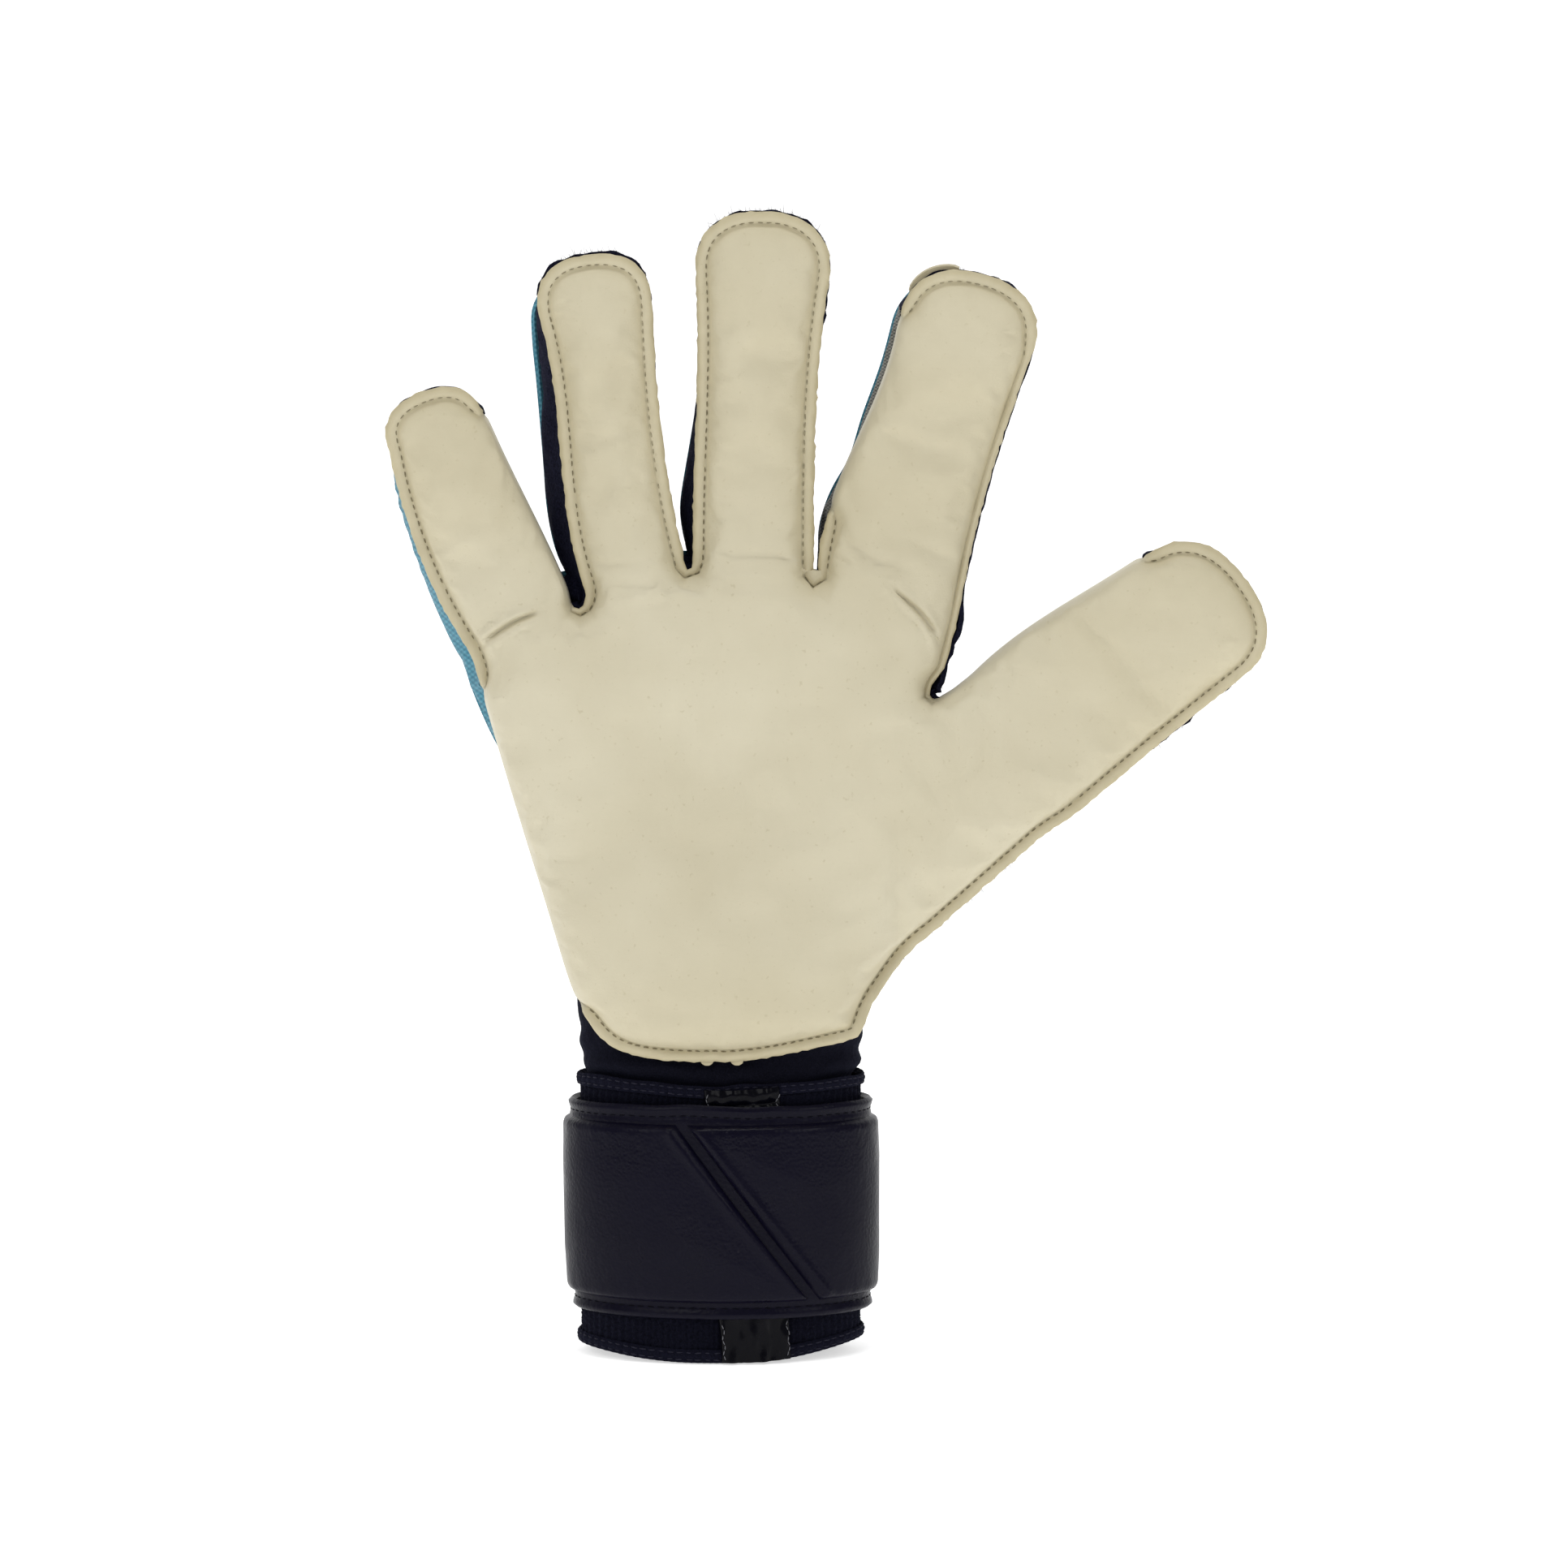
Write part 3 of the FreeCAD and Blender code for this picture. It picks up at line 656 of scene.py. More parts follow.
def attach(piece, section):
    """Parents a palm piece to the palm's body; a finger's piece only has its transform baked into its mesh."""
    if section == 0:
        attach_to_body(piece, "palm")
        return piece
    k = (section - 1) // 2
    finger = FINGERS[ORDER[k]]
    if section % 2:
        a, b = OUTLINE[ROOTS[k][0]], OUTLINE[ROOTS[k][1]]
        line = (b - a) / np.linalg.norm(b - a)
        up = np.array([-line[1], line[0]])
        middle = (a + b) / 2
        reach = (finger.at(0, finger.split) - middle) @ up
        lean = abs(line @ finger.along) * np.linalg.norm(b - a) / 2
        start, end = middle, middle + up * (reach - lean - 0.5)
    else:
        start, end = finger.at(0, finger.split), finger.at(0, finger.split + TIP_BLEND)
    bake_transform(piece)
    return piece


# ---- puffed panels ------------------------------------------------------------------------------
RINGS = (0.45, 1.1, 2.0, 3.2, 4.8)    # distances of the rows of points that follow a panel's edge
GRID = 2.1


def solve_puff(points, triangles, fixed):
    """Solves for the height of an evenly pressed membrane that is held along its edge."""
    rows, columns, weights = [], [], []
    area = np.zeros(len(points))
    p = points[triangles]
    double = np.cross(p[:, 1] - p[:, 0], p[:, 2] - p[:, 0])
    for k in range(3):
        i, j, o = triangles[:, k], triangles[:, (k + 1) % 3], (k + 2) % 3
        a, b = p[:, k] - p[:, o], p[:, (k + 1) % 3] - p[:, o]
        cot = (a * b).sum(1) / np.maximum(np.abs(np.cross(a, b)), 1e-6) / 2
        rows += [i, j]
        columns += [j, i]
        weights += [cot, cot]
        np.add.at(area, triangles[:, k], np.abs(double) / 6)
    rows, columns, weights = np.concatenate(rows), np.concatenate(columns), np.concatenate(weights)
    diagonal = np.bincount(rows, weights, len(points))
    free = ~fixed

    def apply(x):
        return np.where(free, diagonal * x - np.bincount(rows, weights * x[columns], len(points)), 0)

    x = np.zeros(len(points))
    r = np.where(free, area, 0)
    precondition = np.where(diagonal > 1e-9, 1 / np.maximum(diagonal, 1e-9), 0) * free
    z = r * precondition
    d, rz = z.copy(), (r * z).sum()
    for _ in range(900):
        q = apply(d)
        step = rz / max((d * q).sum(), 1e-30)
        x += step * d
        r -= step * q
        z = r * precondition
        new = (r * z).sum()
        if new < 1e-9:
            break
        d = z + new / rz * d
        rz = new
    return np.maximum(x, 0)


class Panel:
    """A flat panel cut to a closed edge, meshed so that its rows follow the edge."""

    def __init__(self, edge, lines, extra_rows=None):
        """lines are splits across the panel, as pairs of edge indices. The mesh follows the extra rows."""
        self.edge = edge
        count = len(edge)
        inward = -loop_normals(edge)
        extra = []
        splits = []
        for a, b in lines:
            steps = max(2, int(np.linalg.norm(edge[b] - edge[a]) / 1.6))
            f = np.linspace(0, 1, steps + 1)[1:-1]
            inside = edge[a] + (edge[b] - edge[a]) * f[:, None]
            splits.append((a, inside, b))
            extra.append(inside)
        keep = np.vstack(extra) if extra else np.zeros((0, 2))
        cloud = []
        for depth in RINGS:
            ring = edge + inward * depth
            cloud.append(ring[(nearest(ring, edge)[0] > 0.93 * depth) & self.clear(ring, keep, 0.75)])
        rings = np.vstack(cloud)
        if extra_rows is not None:
            extra_rows = extra_rows[self.inside(extra_rows) & self.clear(extra_rows, edge, 0.8)]
            extra_rows = extra_rows[self.clear(extra_rows, keep, 0.6)]
            rings = np.vstack([extra_rows, rings[self.clear(rings, extra_rows, 0.45)]])
        low, high = edge.min(0), edge.max(0)
        xs = np.arange(low[0], high[0], GRID)
        zs = np.arange(low[1], high[1], GRID * math.sqrt(0.75))
        grid = np.array([[x + (GRID / 2 if k % 2 else 0), z] for k, z in enumerate(zs) for x in xs])
        grid = grid[self.clear(grid, edge, RINGS[-1] + 0.3) & self.inside(grid)]
        grid = grid[self.clear(grid, rings, 1.1) & self.clear(grid, keep, 0.95)]
        rings = self.thin(rings[self.inside(rings)])
        points = [edge, rings, grid]
        constraints = [(i, (i + 1) % count) for i in range(count)]
        at = count + len(rings) + len(grid)
        for a, inside, b in splits:
            ids = [a, *range(at, at + len(inside)), b]
            constraints += list(zip(ids, ids[1:]))
            points.append(inside)
            at += len(inside)
        points = np.vstack(points)
        result = delaunay_2d_cdt([Vector(p) for p in points], constraints, [], 1, 1e-5)
        self.flat = np.array([[v.x, v.y] for v in result[0]])
        self.triangles = np.array([f for f in result[2] if len(f) == 3])
        new_of = {old: new for new, olds in enumerate(result[3]) for old in olds}
        self.edge_ids = np.array([new_of[i] for i in range(count)])
        walls = {frozenset(e) for e, olds in zip(result[1], result[4]) if any(o >= count for o in olds)}
        self.label(walls)
        fixed = np.zeros(len(self.flat), bool)
        fixed[self.edge_ids] = True
        self.puff = np.sqrt(2 * solve_puff(self.flat, self.triangles, fixed))
        self.depth, self.near = nearest(self.flat, edge)
        self.depth[self.edge_ids] = 0
        self.near[self.edge_ids] = np.arange(count)

    @staticmethod
    def clear(points, others, gap):
        return nearest(points, others)[0] > gap if len(others) else np.ones(len(points), bool)

    @staticmethod
    def thin(points, gap=0.42):
        """Drops points that lie closer than gap to an earlier one."""
        kept, cells = [], {}
        for p in points:
            key = (int(p[0] // gap), int(p[1] // gap))
            around = [q for a in (-1, 0, 1) for b in (-1, 0, 1)
                      for q in cells.get((key[0] + a, key[1] + b), [])]
            if all((p[0] - q[0]) ** 2 + (p[1] - q[1]) ** 2 > gap * gap for q in around):
                cells.setdefault(key, []).append(p)
                kept.append(p)
        return np.array(kept)

    def inside(self, points):
        a, b = self.edge, np.roll(self.edge, -1, 0)
        result = np.zeros(len(points), bool)
        for k in range(0, len(points), 512):
            p = points[k:k + 512, None]
            crosses = (a[:, 1] > p[..., 1]) != (b[:, 1] > p[..., 1])
            rise = np.where(crosses, b[:, 1] - a[:, 1], 1)
            x = a[:, 0] + (p[..., 1] - a[:, 1]) * (b[:, 0] - a[:, 0]) / rise
            result[k:k + 512] = (crosses & (p[..., 0] < x)).sum(1) % 2 == 1
        return result

    def label(self, walls):
        """Gives each triangle its section, by spreading from the edge without crossing a split."""
        neighbours = {}
        for f, tri in enumerate(self.triangles):
            for a, b in zip(tri, np.roll(tri, -1)):
                neighbours.setdefault(frozenset((a, b)), []).append(f)
        self.section = np.full(len(self.triangles), -1)
        group, groups = np.full(len(self.triangles), -1), 0
        for seed in range(len(self.triangles)):
            if group[seed] >= 0:
                continue
            stack = [seed]
            group[seed] = groups
            while stack:
                tri = self.triangles[stack.pop()]
                for a, b in zip(tri, np.roll(tri, -1)):
                    key = frozenset((a, b))
                    if key in walls:
                        continue
                    for g in neighbours[key]:
                        if group[g] < 0:
                            group[g] = groups
                            stack.append(g)
            groups += 1
        votes = np.zeros((groups, 11))
        ids = self.edge_ids
        for i in range(len(ids)):
            pair = neighbours.get(frozenset((ids[i], ids[(i + 1) % len(ids)])), [])
            for f in pair:
                votes[group[f], SECTION[i]] += 1
        self.section = votes.argmax(1)[group]
        self.point_section = np.zeros(len(self.flat), int)
        self.point_section[self.triangles.ravel()] = np.repeat(self.section, 3)
        for f in np.flatnonzero(self.section == 0):
            self.point_section[self.triangles[f]] = 0


SHARP_FOLD = 1.0            # folds narrower than this get rows of points of their own
FOLD_GAIN = 1.4
# Folds in the latex: finger, from (u, t) to (u, t), bow, depth and width.
FOLDS = (
    ("little", (-14.0, -1.5), (4.5, 2.5), 1.2, 1.3, 0.75),
    ("little", (-12.0, -12.0), (-6.0, -7.0), 0.5, 0.4, 1.6),
    ("index", (0.5, 2.5), (16.5, -11.0), 2.2, 1.2, 0.62),
    ("index", (0.0, 16.0), (14.0, 13.0), -1.0, 0.35, 1.8),
    ("ring", (-13.0, 3.0), (13.0, 4.5), -1.2, 0.35, 1.5),
    ("ring", (-12.0, 8.5), (10.0, 9.5), -1.0, 0.2, 1.2),
    ("middle", (-14.0, 2.0), (12.0, 1.0), -1.5, 0.35, 1.5),
    ("middle", (-12.0, 8.0), (12.0, 7.0), -0.8, 0.22, 1.2),
    ("index", (-15.0, 12.0), (2.0, 8.0), -1.5, 0.35, 1.5),
    ("ring", (-13.0, 40.0), (10.0, 41.0), 0.6, 0.12, 2.4),
    ("middle", (-14.0, 44.0), (12.0, 43.0), 0.6, 0.10, 2.4),
    ("index", (-15.0, 40.0), (14.0, 38.0), 0.8, 0.14, 2.6),
    ("little", (-13.0, 29.0), (10.0, 28.0), 0.5, 0.10, 2.2),
    ("thumb", (-17.0, -4.0), (-2.0, -12.0), 2.0, 0.3, 1.8),
    ("thumb", (-18.0, 30.0), (16.0, 32.0), 1.0, 0.22, 2.6),
    ("thumb", (-20.0, -12.0), (-4.0, -22.0), 2.0, 0.28, 2.0),
    ("thumb", (-14.0, -22.0), (4.0, -30.0), 1.0, 0.22, 2.0),
)


def fold_ends(name, a, b):
    return [FINGERS[name].at(u, t) for u, t in (a, b)]


def fold_rows():
    """Rows of points along the sharp folds, so that the mesh follows them."""
    rows = []
    for name, a, b, bow, _, width in FOLDS:
        if width > SHARP_FOLD:
            continue
        start, end = fold_ends(name, a, b)
        length = np.linalg.norm(end - start)
        along = (end - start) / length
        side = np.array([-along[1], along[0]])
        f = np.linspace(-0.05, 1.05, int(length / 0.9))
        for off in (0.0, -0.5, 0.5, -1.1, 1.1, -1.9, 1.9, -3.0, 3.0):
            bent = bow * 4 * np.clip(f, 0, 1) * (1 - np.clip(f, 0, 1)) + off
            rows.append(start + np.outer(f * length, along) + np.outer(bent, side))
    return np.vstack(rows)


LINES = ROOTS + SPLITS
FRONT = Panel(SEAM, LINES, fold_rows())


# ---- the depth of the hand ----------------------------------------------------------------------
PUFF_HEIGHT, PUFF_REACH = 9.6, 13.0
EDGE_SOFTNESS = 4.0         # rounds the foot of a puffed panel, where it leaves the stitch line
FRONT_EDGE, BACK_EDGE = 8.8, 7.5          # stitch lines' distance from the hand's middle plane, on the fingers
FRONT_WRIST, BACK_WRIST = 20.6, 16.5      # and at the wrist
WRIST_SPAN = 46.0
WRIST_START, WRIST_BLEND = 150.0, 75.0    # height where the hand starts to thicken, and over what length
LATEX, FOAM, KNIT, LINING = 2.0, 2.5, 1.3, 1.0      # wall thicknesses


def edge_depth(points, finger, wrist):
    """A stitch line's distance from the hand's middle plane, given it for the fingers and for the wrist."""
    share = smoothstep((WRIST_START - points[:, 1]) / WRIST_BLEND)
    oval = np.sqrt(np.clip(1 - (points[:, 0] / WRIST_SPAN) ** 2, 0.15, 1))
    return finger + (wrist * oval - finger) * share


def puffed(puff):
    """How far a panel stands out, from the root of its membrane's height."""
    rise = np.sqrt(puff ** 2 + EDGE_SOFTNESS ** 2) - EDGE_SOFTNESS
    return PUFF_HEIGHT * (1 - np.exp(-rise / PUFF_REACH))


def ripple(points, wavelength, seed, waves=8):
    """Gentle unevenness of about -1 to 1: crossing waves of mixed length and direction."""
    draw = np.random.default_rng(seed)
    value = np.zeros(len(points))
    for _ in range(waves):
        angle, phase = draw.uniform(0, math.pi), draw.uniform(0, 2 * math.pi)
        k = 2 * math.pi / (wavelength * draw.uniform(0.7, 1.5))
        value += np.sin((points[:, 0] * math.cos(angle) + points[:, -1] * math.sin(angle)) * k + phase)
    return value / math.sqrt(waves)


def fold(points, a, b, bow, depth, width):
    """A fold from a to b, bowed sideways: a groove with a swell beside it. Negative is inward."""
    length = np.linalg.norm(b - a)
    along = (b - a) / length
    side = np.array([-along[1], along[0]])
    f = (points - a) @ along / length
    off = (points - a) @ side - bow * 4 * np.clip(f, 0, 1) * (1 - np.clip(f, 0, 1))
    ends = smoothstep(f * 4 + 0.4) * smoothstep((1 - f) * 4 + 0.4)
    groove = bell(off, width)
    swell = bell(np.abs(off) - 2.2 * width, 1.6 * width)
    return ends * depth * (0.4 * swell - groove)


def front_relief(points):
    value = 0.28 * ripple(points, 26, 3) + 0.10 * ripple(points, 9, 4)
    for name, a, b, bow, depth, width in FOLDS:
        value = value + FOLD_GAIN * fold(points, *fold_ends(name, a, b), bow, depth, width)
    return value


# ---- the latex front ----------------------------------------------------------------------------
# Rows beyond the stitch line. Where there is a flange they run outward over it; where the latex is rolled
# they run back round the side.
FLANGE_OUT = np.array([0.14, 0.32, 0.62, 0.88, 1.0])       # share of the flange's width
FLANGE_RISE = np.array([0.15, 0.62, 0.78, 0.45, -0.25])
FLANGE_TINT = np.array([0.35, 0.45, 0.7, 0.95, 1.0])
ROLL_OUT = np.array([0.25, 0.35, 0.15, -0.5, -1.5])
ROLL_BACK = np.array([1.8, 4.4, 7.4, 10.2, 12.6])
SHARE = smoothstep(WIDTH / (0.55 * FLANGE))    # 1 where there is a flange, 0 where the latex is rolled
SEAM_DEPTH = edge_depth(SEAM, FRONT_EDGE, FRONT_WRIST)
WAVY = 0.35 * ripple(OUTLINE, 17, 11) + 0.25 * ripple(OUTLINE, 6, 12)

PAINTED_SHADE_STRENGTH = 0.272             # how much of the cut edge's darker colour is painted on the heel and the fingers as shade

CLOTH_FRAMES = 20
CLOTH_PRESSURE = 4.0
CLOTH_SPARE = -0.02         # shrinkage: the cloth is cut this share too large, so that it fills out
CLOTH_CAP = 1.3             # furthest that the simulation may move a point
SEWN_DEPTH = 0.6            # points nearer to a panel's edge than this are sewn down


def inflate(name, points, faces, held):
    """Blender's cloth, pressed outward from inside and held where held is 1, along its seams. Gives the
    settled points."""
    sheet = new_piece(name, points, faces, MATERIALS["latex"])
    group = sheet.vertex_groups.new(name="sewn")
    for i in np.flatnonzero(held > 0):
        group.add([int(i)], float(held[i]), "REPLACE")
    cloth = sheet.modifiers.new("cloth", "CLOTH")
    settings = cloth.settings
    settings.quality = 6
    settings.mass = 0.3
    settings.tension_stiffness = settings.compression_stiffness = 25
    settings.shear_stiffness = 15
    settings.bending_stiffness = 4
    settings.air_damping = 8
    settings.vertex_group_mass = "sewn"
    settings.use_pressure = True
    settings.uniform_pressure_force = CLOTH_PRESSURE
    settings.shrink_min = CLOTH_SPARE
    settings.effector_weights.gravity = 0
    cloth.collision_settings.use_collision = False
    cloth.point_cache.frame_end = CLOTH_FRAMES
    scene = bpy.context.scene
    for step in range(1, CLOTH_FRAMES + 1):
        scene.frame_set(step)
    settled = sheet.evaluated_get(bpy.context.evaluated_depsgraph_get()).data
    moved = np.empty(len(points) * 3)
    settled.vertices.foreach_get("co", moved)
    moved = moved.reshape(-1, 3) / MM - points
    scene.frame_set(1)
    data = sheet.data
    bpy.data.objects.remove(sheet)
    bpy.data.meshes.remove(data)
    reach = np.linalg.norm(moved, axis=1)
    return points + moved * (np.tanh(reach / CLOTH_CAP) * CLOTH_CAP / np.maximum(reach, 1e-9))[:, None]


front_y = -edge_depth(FRONT.flat, FRONT_EDGE, FRONT_WRIST) - puffed(FRONT.puff)
front_y -= front_relief(FRONT.flat) * smoothstep(FRONT.depth / 5)
front_points = at_depth(FRONT.flat, front_y)
front_points = inflate("latex_front_cloth", front_points, FRONT.triangles, FRONT.depth < SEWN_DEPTH)
strip_points, strip_tint = [], []
for row in range(len(FLANGE_OUT)):
    out = WIDTH * FLANGE_OUT[row] + (1 - SHARE) * ROLL_OUT[row] * SEAM_DEPTH / FRONT_EDGE
    if row >= 3:
        out = out + SHARE * RANDOM.normal(0, 0.10, len(out))
    flat = SEAM + NORMAL * out[:, None]
    back = (1 - SHARE) * ROLL_BACK[row] * (SEAM_DEPTH + 4) / (FRONT_EDGE + 4)
    y = -SEAM_DEPTH - SHARE * (FLANGE_RISE[row] + WAVY * FLANGE_OUT[row]) + back
    strip_points.append(at_depth(flat, y))
    strip_tint.append(SHARE * FLANGE_TINT[row])
BASE = len(FRONT.flat)
COUNT = len(OUTLINE)
latex_points = np.vstack([front_points, *strip_points])
painted_shade = PAINTED_SHADE_STRENGTH * smoothstep((112 - FRONT.flat[:, 1]) / 34)      # painted shade on the heel, darker towards its bottom
# Painted shade on each finger, darker from just past its root outward.
for k, name in enumerate(ORDER):
    mine = on_finger(FRONT.point_section, k)
    painted_shade += PAINTED_SHADE_STRENGTH * mine * smoothstep((FINGERS[name].local(FRONT.flat)[1] - 2) / 30)
# Beside the stitch line: a narrow band of the cut edge's own yellower colour, and a broader band of painted
# shade on the puffed panel's sides.
edge_colour_and_shade = (0.30 * np.exp(-FRONT.depth / 0.8) + 0.22 * np.exp(-FRONT.depth / 3.5)) * SHARE[FRONT.near]
latex_tint = np.concatenate([np.minimum(painted_shade + edge_colour_and_shade, 1), *strip_tint])
latex_sections = np.concatenate([FRONT.point_section] + [SECTION] * len(strip_points))


def edge_strips(first_row, row_starts, mask=None):
    """Quads of the strips beyond a panel's edge, with the section of each. Rows run clockwise."""
    faces, sections = [], []
    rows = [first_row] + [np.arange(s, s + COUNT) for s in row_starts]
    for inner, outer in zip(rows, rows[1:]):
        for i in range(COUNT):
            j = (i + 1) % COUNT
            if mask is None or (mask[i] and mask[j]):
                faces.append((inner[i], inner[j], outer[j], outer[i]))
                sections.append(SECTION[i])
    return faces, np.array(sections)


strip_faces, strip_sections = edge_strips(FRONT.edge_ids, [BASE + COUNT * k for k in range(len(FLANGE_OUT))])
latex_faces = [tuple(t) for t in FRONT.triangles] + strip_faces
latex_face_sections = np.concatenate([FRONT.section, strip_sections])
latex_points = bend_to_curve(latex_points, latex_sections)
latex_normals = vertex_normals(latex_points, latex_faces)


def section_nodes(section, palm, base, tip):
    """The CAD nodes that a section's piece stands for."""
    if section == 0:
        return palm
    name = ORDER[(section - 1) // 2]
    return [f"{name}_{part}" for part in (base if section % 2 else tip)]


def split_shell(label, points, faces, face_sections, normals, wall, material, tint, nodes):
    """One closed piece for each section, passed to attach, and hiding the CAD nodes that it stands for."""
    made = []
    for section, section_name in enumerate(SECTION_NAMES):
        mine = [f for f, s in zip(faces, face_sections) if s == section]
        if not mine:
            continue
        piece = shell(f"{section_name}_{label}", points, mine, normals, wall, material, tint)
        attach(piece, section)
        replaced = section_nodes(section, *nodes)
        if replaced:
            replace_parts(piece, *replaced)
        made.append(piece)
    return made


split_shell("latex_front", latex_points, latex_faces, latex_face_sections, latex_normals, LATEX,
            MATERIALS["latex"], latex_tint,
            (["palm_latex"], ["base_latex", "knuckle_crease", "middle_crease"], ["tip_latex"]))

# The foam that the latex is laminated to, seen from inside the glove.
foam_points = bend_to_curve(front_points, FRONT.point_section)
panel_normals = vertex_normals(foam_points, FRONT.triangles)
foam_points -= panel_normals * (LATEX + 0.05)
deep = FRONT.depth[FRONT.triangles].min(1) > 3.0
palm_faces = [tuple(t) for t in FRONT.triangles[(FRONT.section == 0) & deep]]
palm_foam = shell("palm_foam_backing", foam_points, palm_faces, panel_normals, FOAM, MATERIALS["foam"])
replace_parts(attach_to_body(palm_foam, "palm"), "palm_foam")

# ---- the back -----------------------------------------------------------------------------------
# How far the backhand stands out past the latex's edge: for a finger and side, (distance along, reach).
BACK_REACH = {
    ("little", -1): ((-4, 3.6), (8, 3.2), (25, 1.8), (45, 0.5), (52, -0.4)),
    ("ring", -1): ((2, 1.5), (6, 4.0), (12, 5.2), (24, 5.4), (32, 5.0), (48, 4.9), (61, 4.5), (73, 2.4),
                   (80, 1.0)),
    ("middle", -1): ((4, 1.5), (8, 3.4), (18, 3.8), (32, 1.8), (42, 0.4), (52, -0.8)),
    ("index", -1): ((6, -0.5), (12, 1.4), (22, 1.2), (30, -0.4), (40, 1.2), (60, 1.9), (74, 1.7), (80, 0.8)),
    ("little", 0): ((50, -2.5), (60, -4.6)),
    ("ring", 0): ((70, -1.0), (82, -3.4)),
    ("middle", 0): ((78, -1.0), (90, -3.6)),
    ("index", 0): ((72, -1.0), (84, -3.6)),
    ("thumb", 0): ((50, -2.0), (64, -5.2)),
}
DEFAULT_REACH = -1.0
GUSSET_GAP = 0.45           # between a gusset and the next finger
BACK_CROTCH = (9.5, 4.2)    # how much higher than the latex's the back's crotches lie: little-ring, ring-middle
CROTCH_ZONE = 13            # outline points on each side of a crotch that are raised
PALM_LEFT_REACH = ((137, -1.0), (144, 0.4), (152, 2.2), (163, 3.6))     # up the palm's left side, by height
reach = np.full(COUNT, DEFAULT_REACH)
for i in range(COUNT):
    if OWNER[i] >= 0 and (ORDER[OWNER[i]], SIDE[i]) in BACK_REACH:
        reach[i] = np.interp(ALONG[i], *zip(*BACK_REACH[ORDER[OWNER[i]], SIDE[i]]))
    elif OUTLINE[i, 0] < -36 and OWNER[i] < 0:
        reach[i] = np.interp(OUTLINE[i, 1], *zip(*PALM_LEFT_REACH))
for k in (1, 2, 3):        # a gusset stops just short of the next finger
    left, right = (OWNER == k) & (SIDE == -1), (OWNER == k - 1) & (SIDE == 1)
    reach[left] = np.minimum(reach[left], nearest(OUTLINE[left], OUTLINE[right])[0] - GUSSET_GAP)
reach = smooth_loop(reach, 8)
back_edge = OUTLINE + NORMAL * reach[:, None]
for k, height in enumerate(BACK_CROTCH):
    bottom = ROOTS[k][1]
    zone = np.arange(bottom - CROTCH_ZONE, bottom + CROTCH_ZONE + 1)
    up = FINGERS[ORDER[k]].along + FINGERS[ORDER[k + 1]].along
    up /= np.linalg.norm(up)
    rise = (back_edge[zone] - OUTLINE[bottom]) @ up
    raised = (rise + height + np.hypot(rise - height, 1.5)) / 2
    back_edge[zone] += np.outer(raised - rise, up)
BACK = Panel(smooth_loop(back_edge, 2), LINES)
BACK_DEPTH = edge_depth(BACK.edge, BACK_EDGE, BACK_WRIST)


def back_relief(points, sections):
    """Raised pads along the backs of the fingers, with a groove across at each joint, and long ones on the
    hand."""
    value = 0.30 * ripple(points, 24, 21)
    for k, name in enumerate(ORDER):
        f = FINGERS[name]
        u, t = f.local(points)
        half = (f.side(1, t) - f.side(-1, t)) / 2
        middle = (f.side(1, t) + f.side(-1, t)) / 2
        across = smoothstep((half - 5.0 - np.abs(u - middle)) / 1.8)
        ends = smoothstep((t - 4) / 2) * smoothstep((f.length - 8 - t) / 3)
        grooves = sum(bell(t - at, 1.3) for at in (f.inner - 9, f.inner, f.inner + 9, f.length - 24))
        value = value + np.where(on_finger(sections, k), 2.0 * across * ends * (1 - np.clip(grooves, 0, 1)), 0)
    palm = sections == 0
    for x, low, high in ((-30, 96, 144), (-12, 92, 146), (8, 92, 146), (28, 96, 144)):
        lean = (points[:, 1] - 120) * (x / 260)
        off = np.abs(points[:, 0] - x - lean)
        pad = smoothstep((8.2 - off) / 1.6) * smoothstep((points[:, 1] - low) / 2.5)
        value = value + np.where(palm, 2.2 * pad * smoothstep((high - points[:, 1]) / 2.5), 0)
    return value


back_y = edge_depth(BACK.flat, BACK_EDGE, BACK_WRIST) + 0.5 * puffed(BACK.puff)
back_y += back_relief(BACK.flat, BACK.point_section) * smoothstep(BACK.depth / 4)
back_flat_points = at_depth(BACK.flat, back_y)
back_faces = [tuple(t[::-1]) for t in BACK.triangles]
back_flat_points = inflate("backhand_cloth", back_flat_points, back_faces, BACK.depth < SEWN_DEPTH)
back_points = bend_to_curve(back_flat_points, BACK.point_section)
back_normals = vertex_normals(back_points, back_faces)
split_shell("backhand", back_points, back_faces, BACK.section, back_normals, KNIT, MATERIALS["blue"],
            None, (["backhand_panel"], ["base_back"], ["tip_back"]))

# ---- the gussets between front and back ---------------------------------------------------------
GUSSET_ROWS = 9
RIM, BLUE_RIM, BLUE_RIM_START = 0.5, 1.9, 46.0   # how far the backhand stands out past the gusset, and past
# this distance along the ring finger's left side, where a blue rim shows
OPEN_LEFT, OPEN_RIGHT = 89.0, 82.0       # the hand is open to the wrist below these heights, left and right
closed = ~((OWNER < 0) & (OUTLINE[:, 1] < np.where(OUTLINE[:, 0] < 0, OPEN_LEFT, OPEN_RIGHT)))
fuzz = 0.35 * ripple(OUTLINE, 11, 31) + 0.3 * ripple(OUTLINE, 4, 32) + RANDOM.normal(0, 0.15, COUNT)
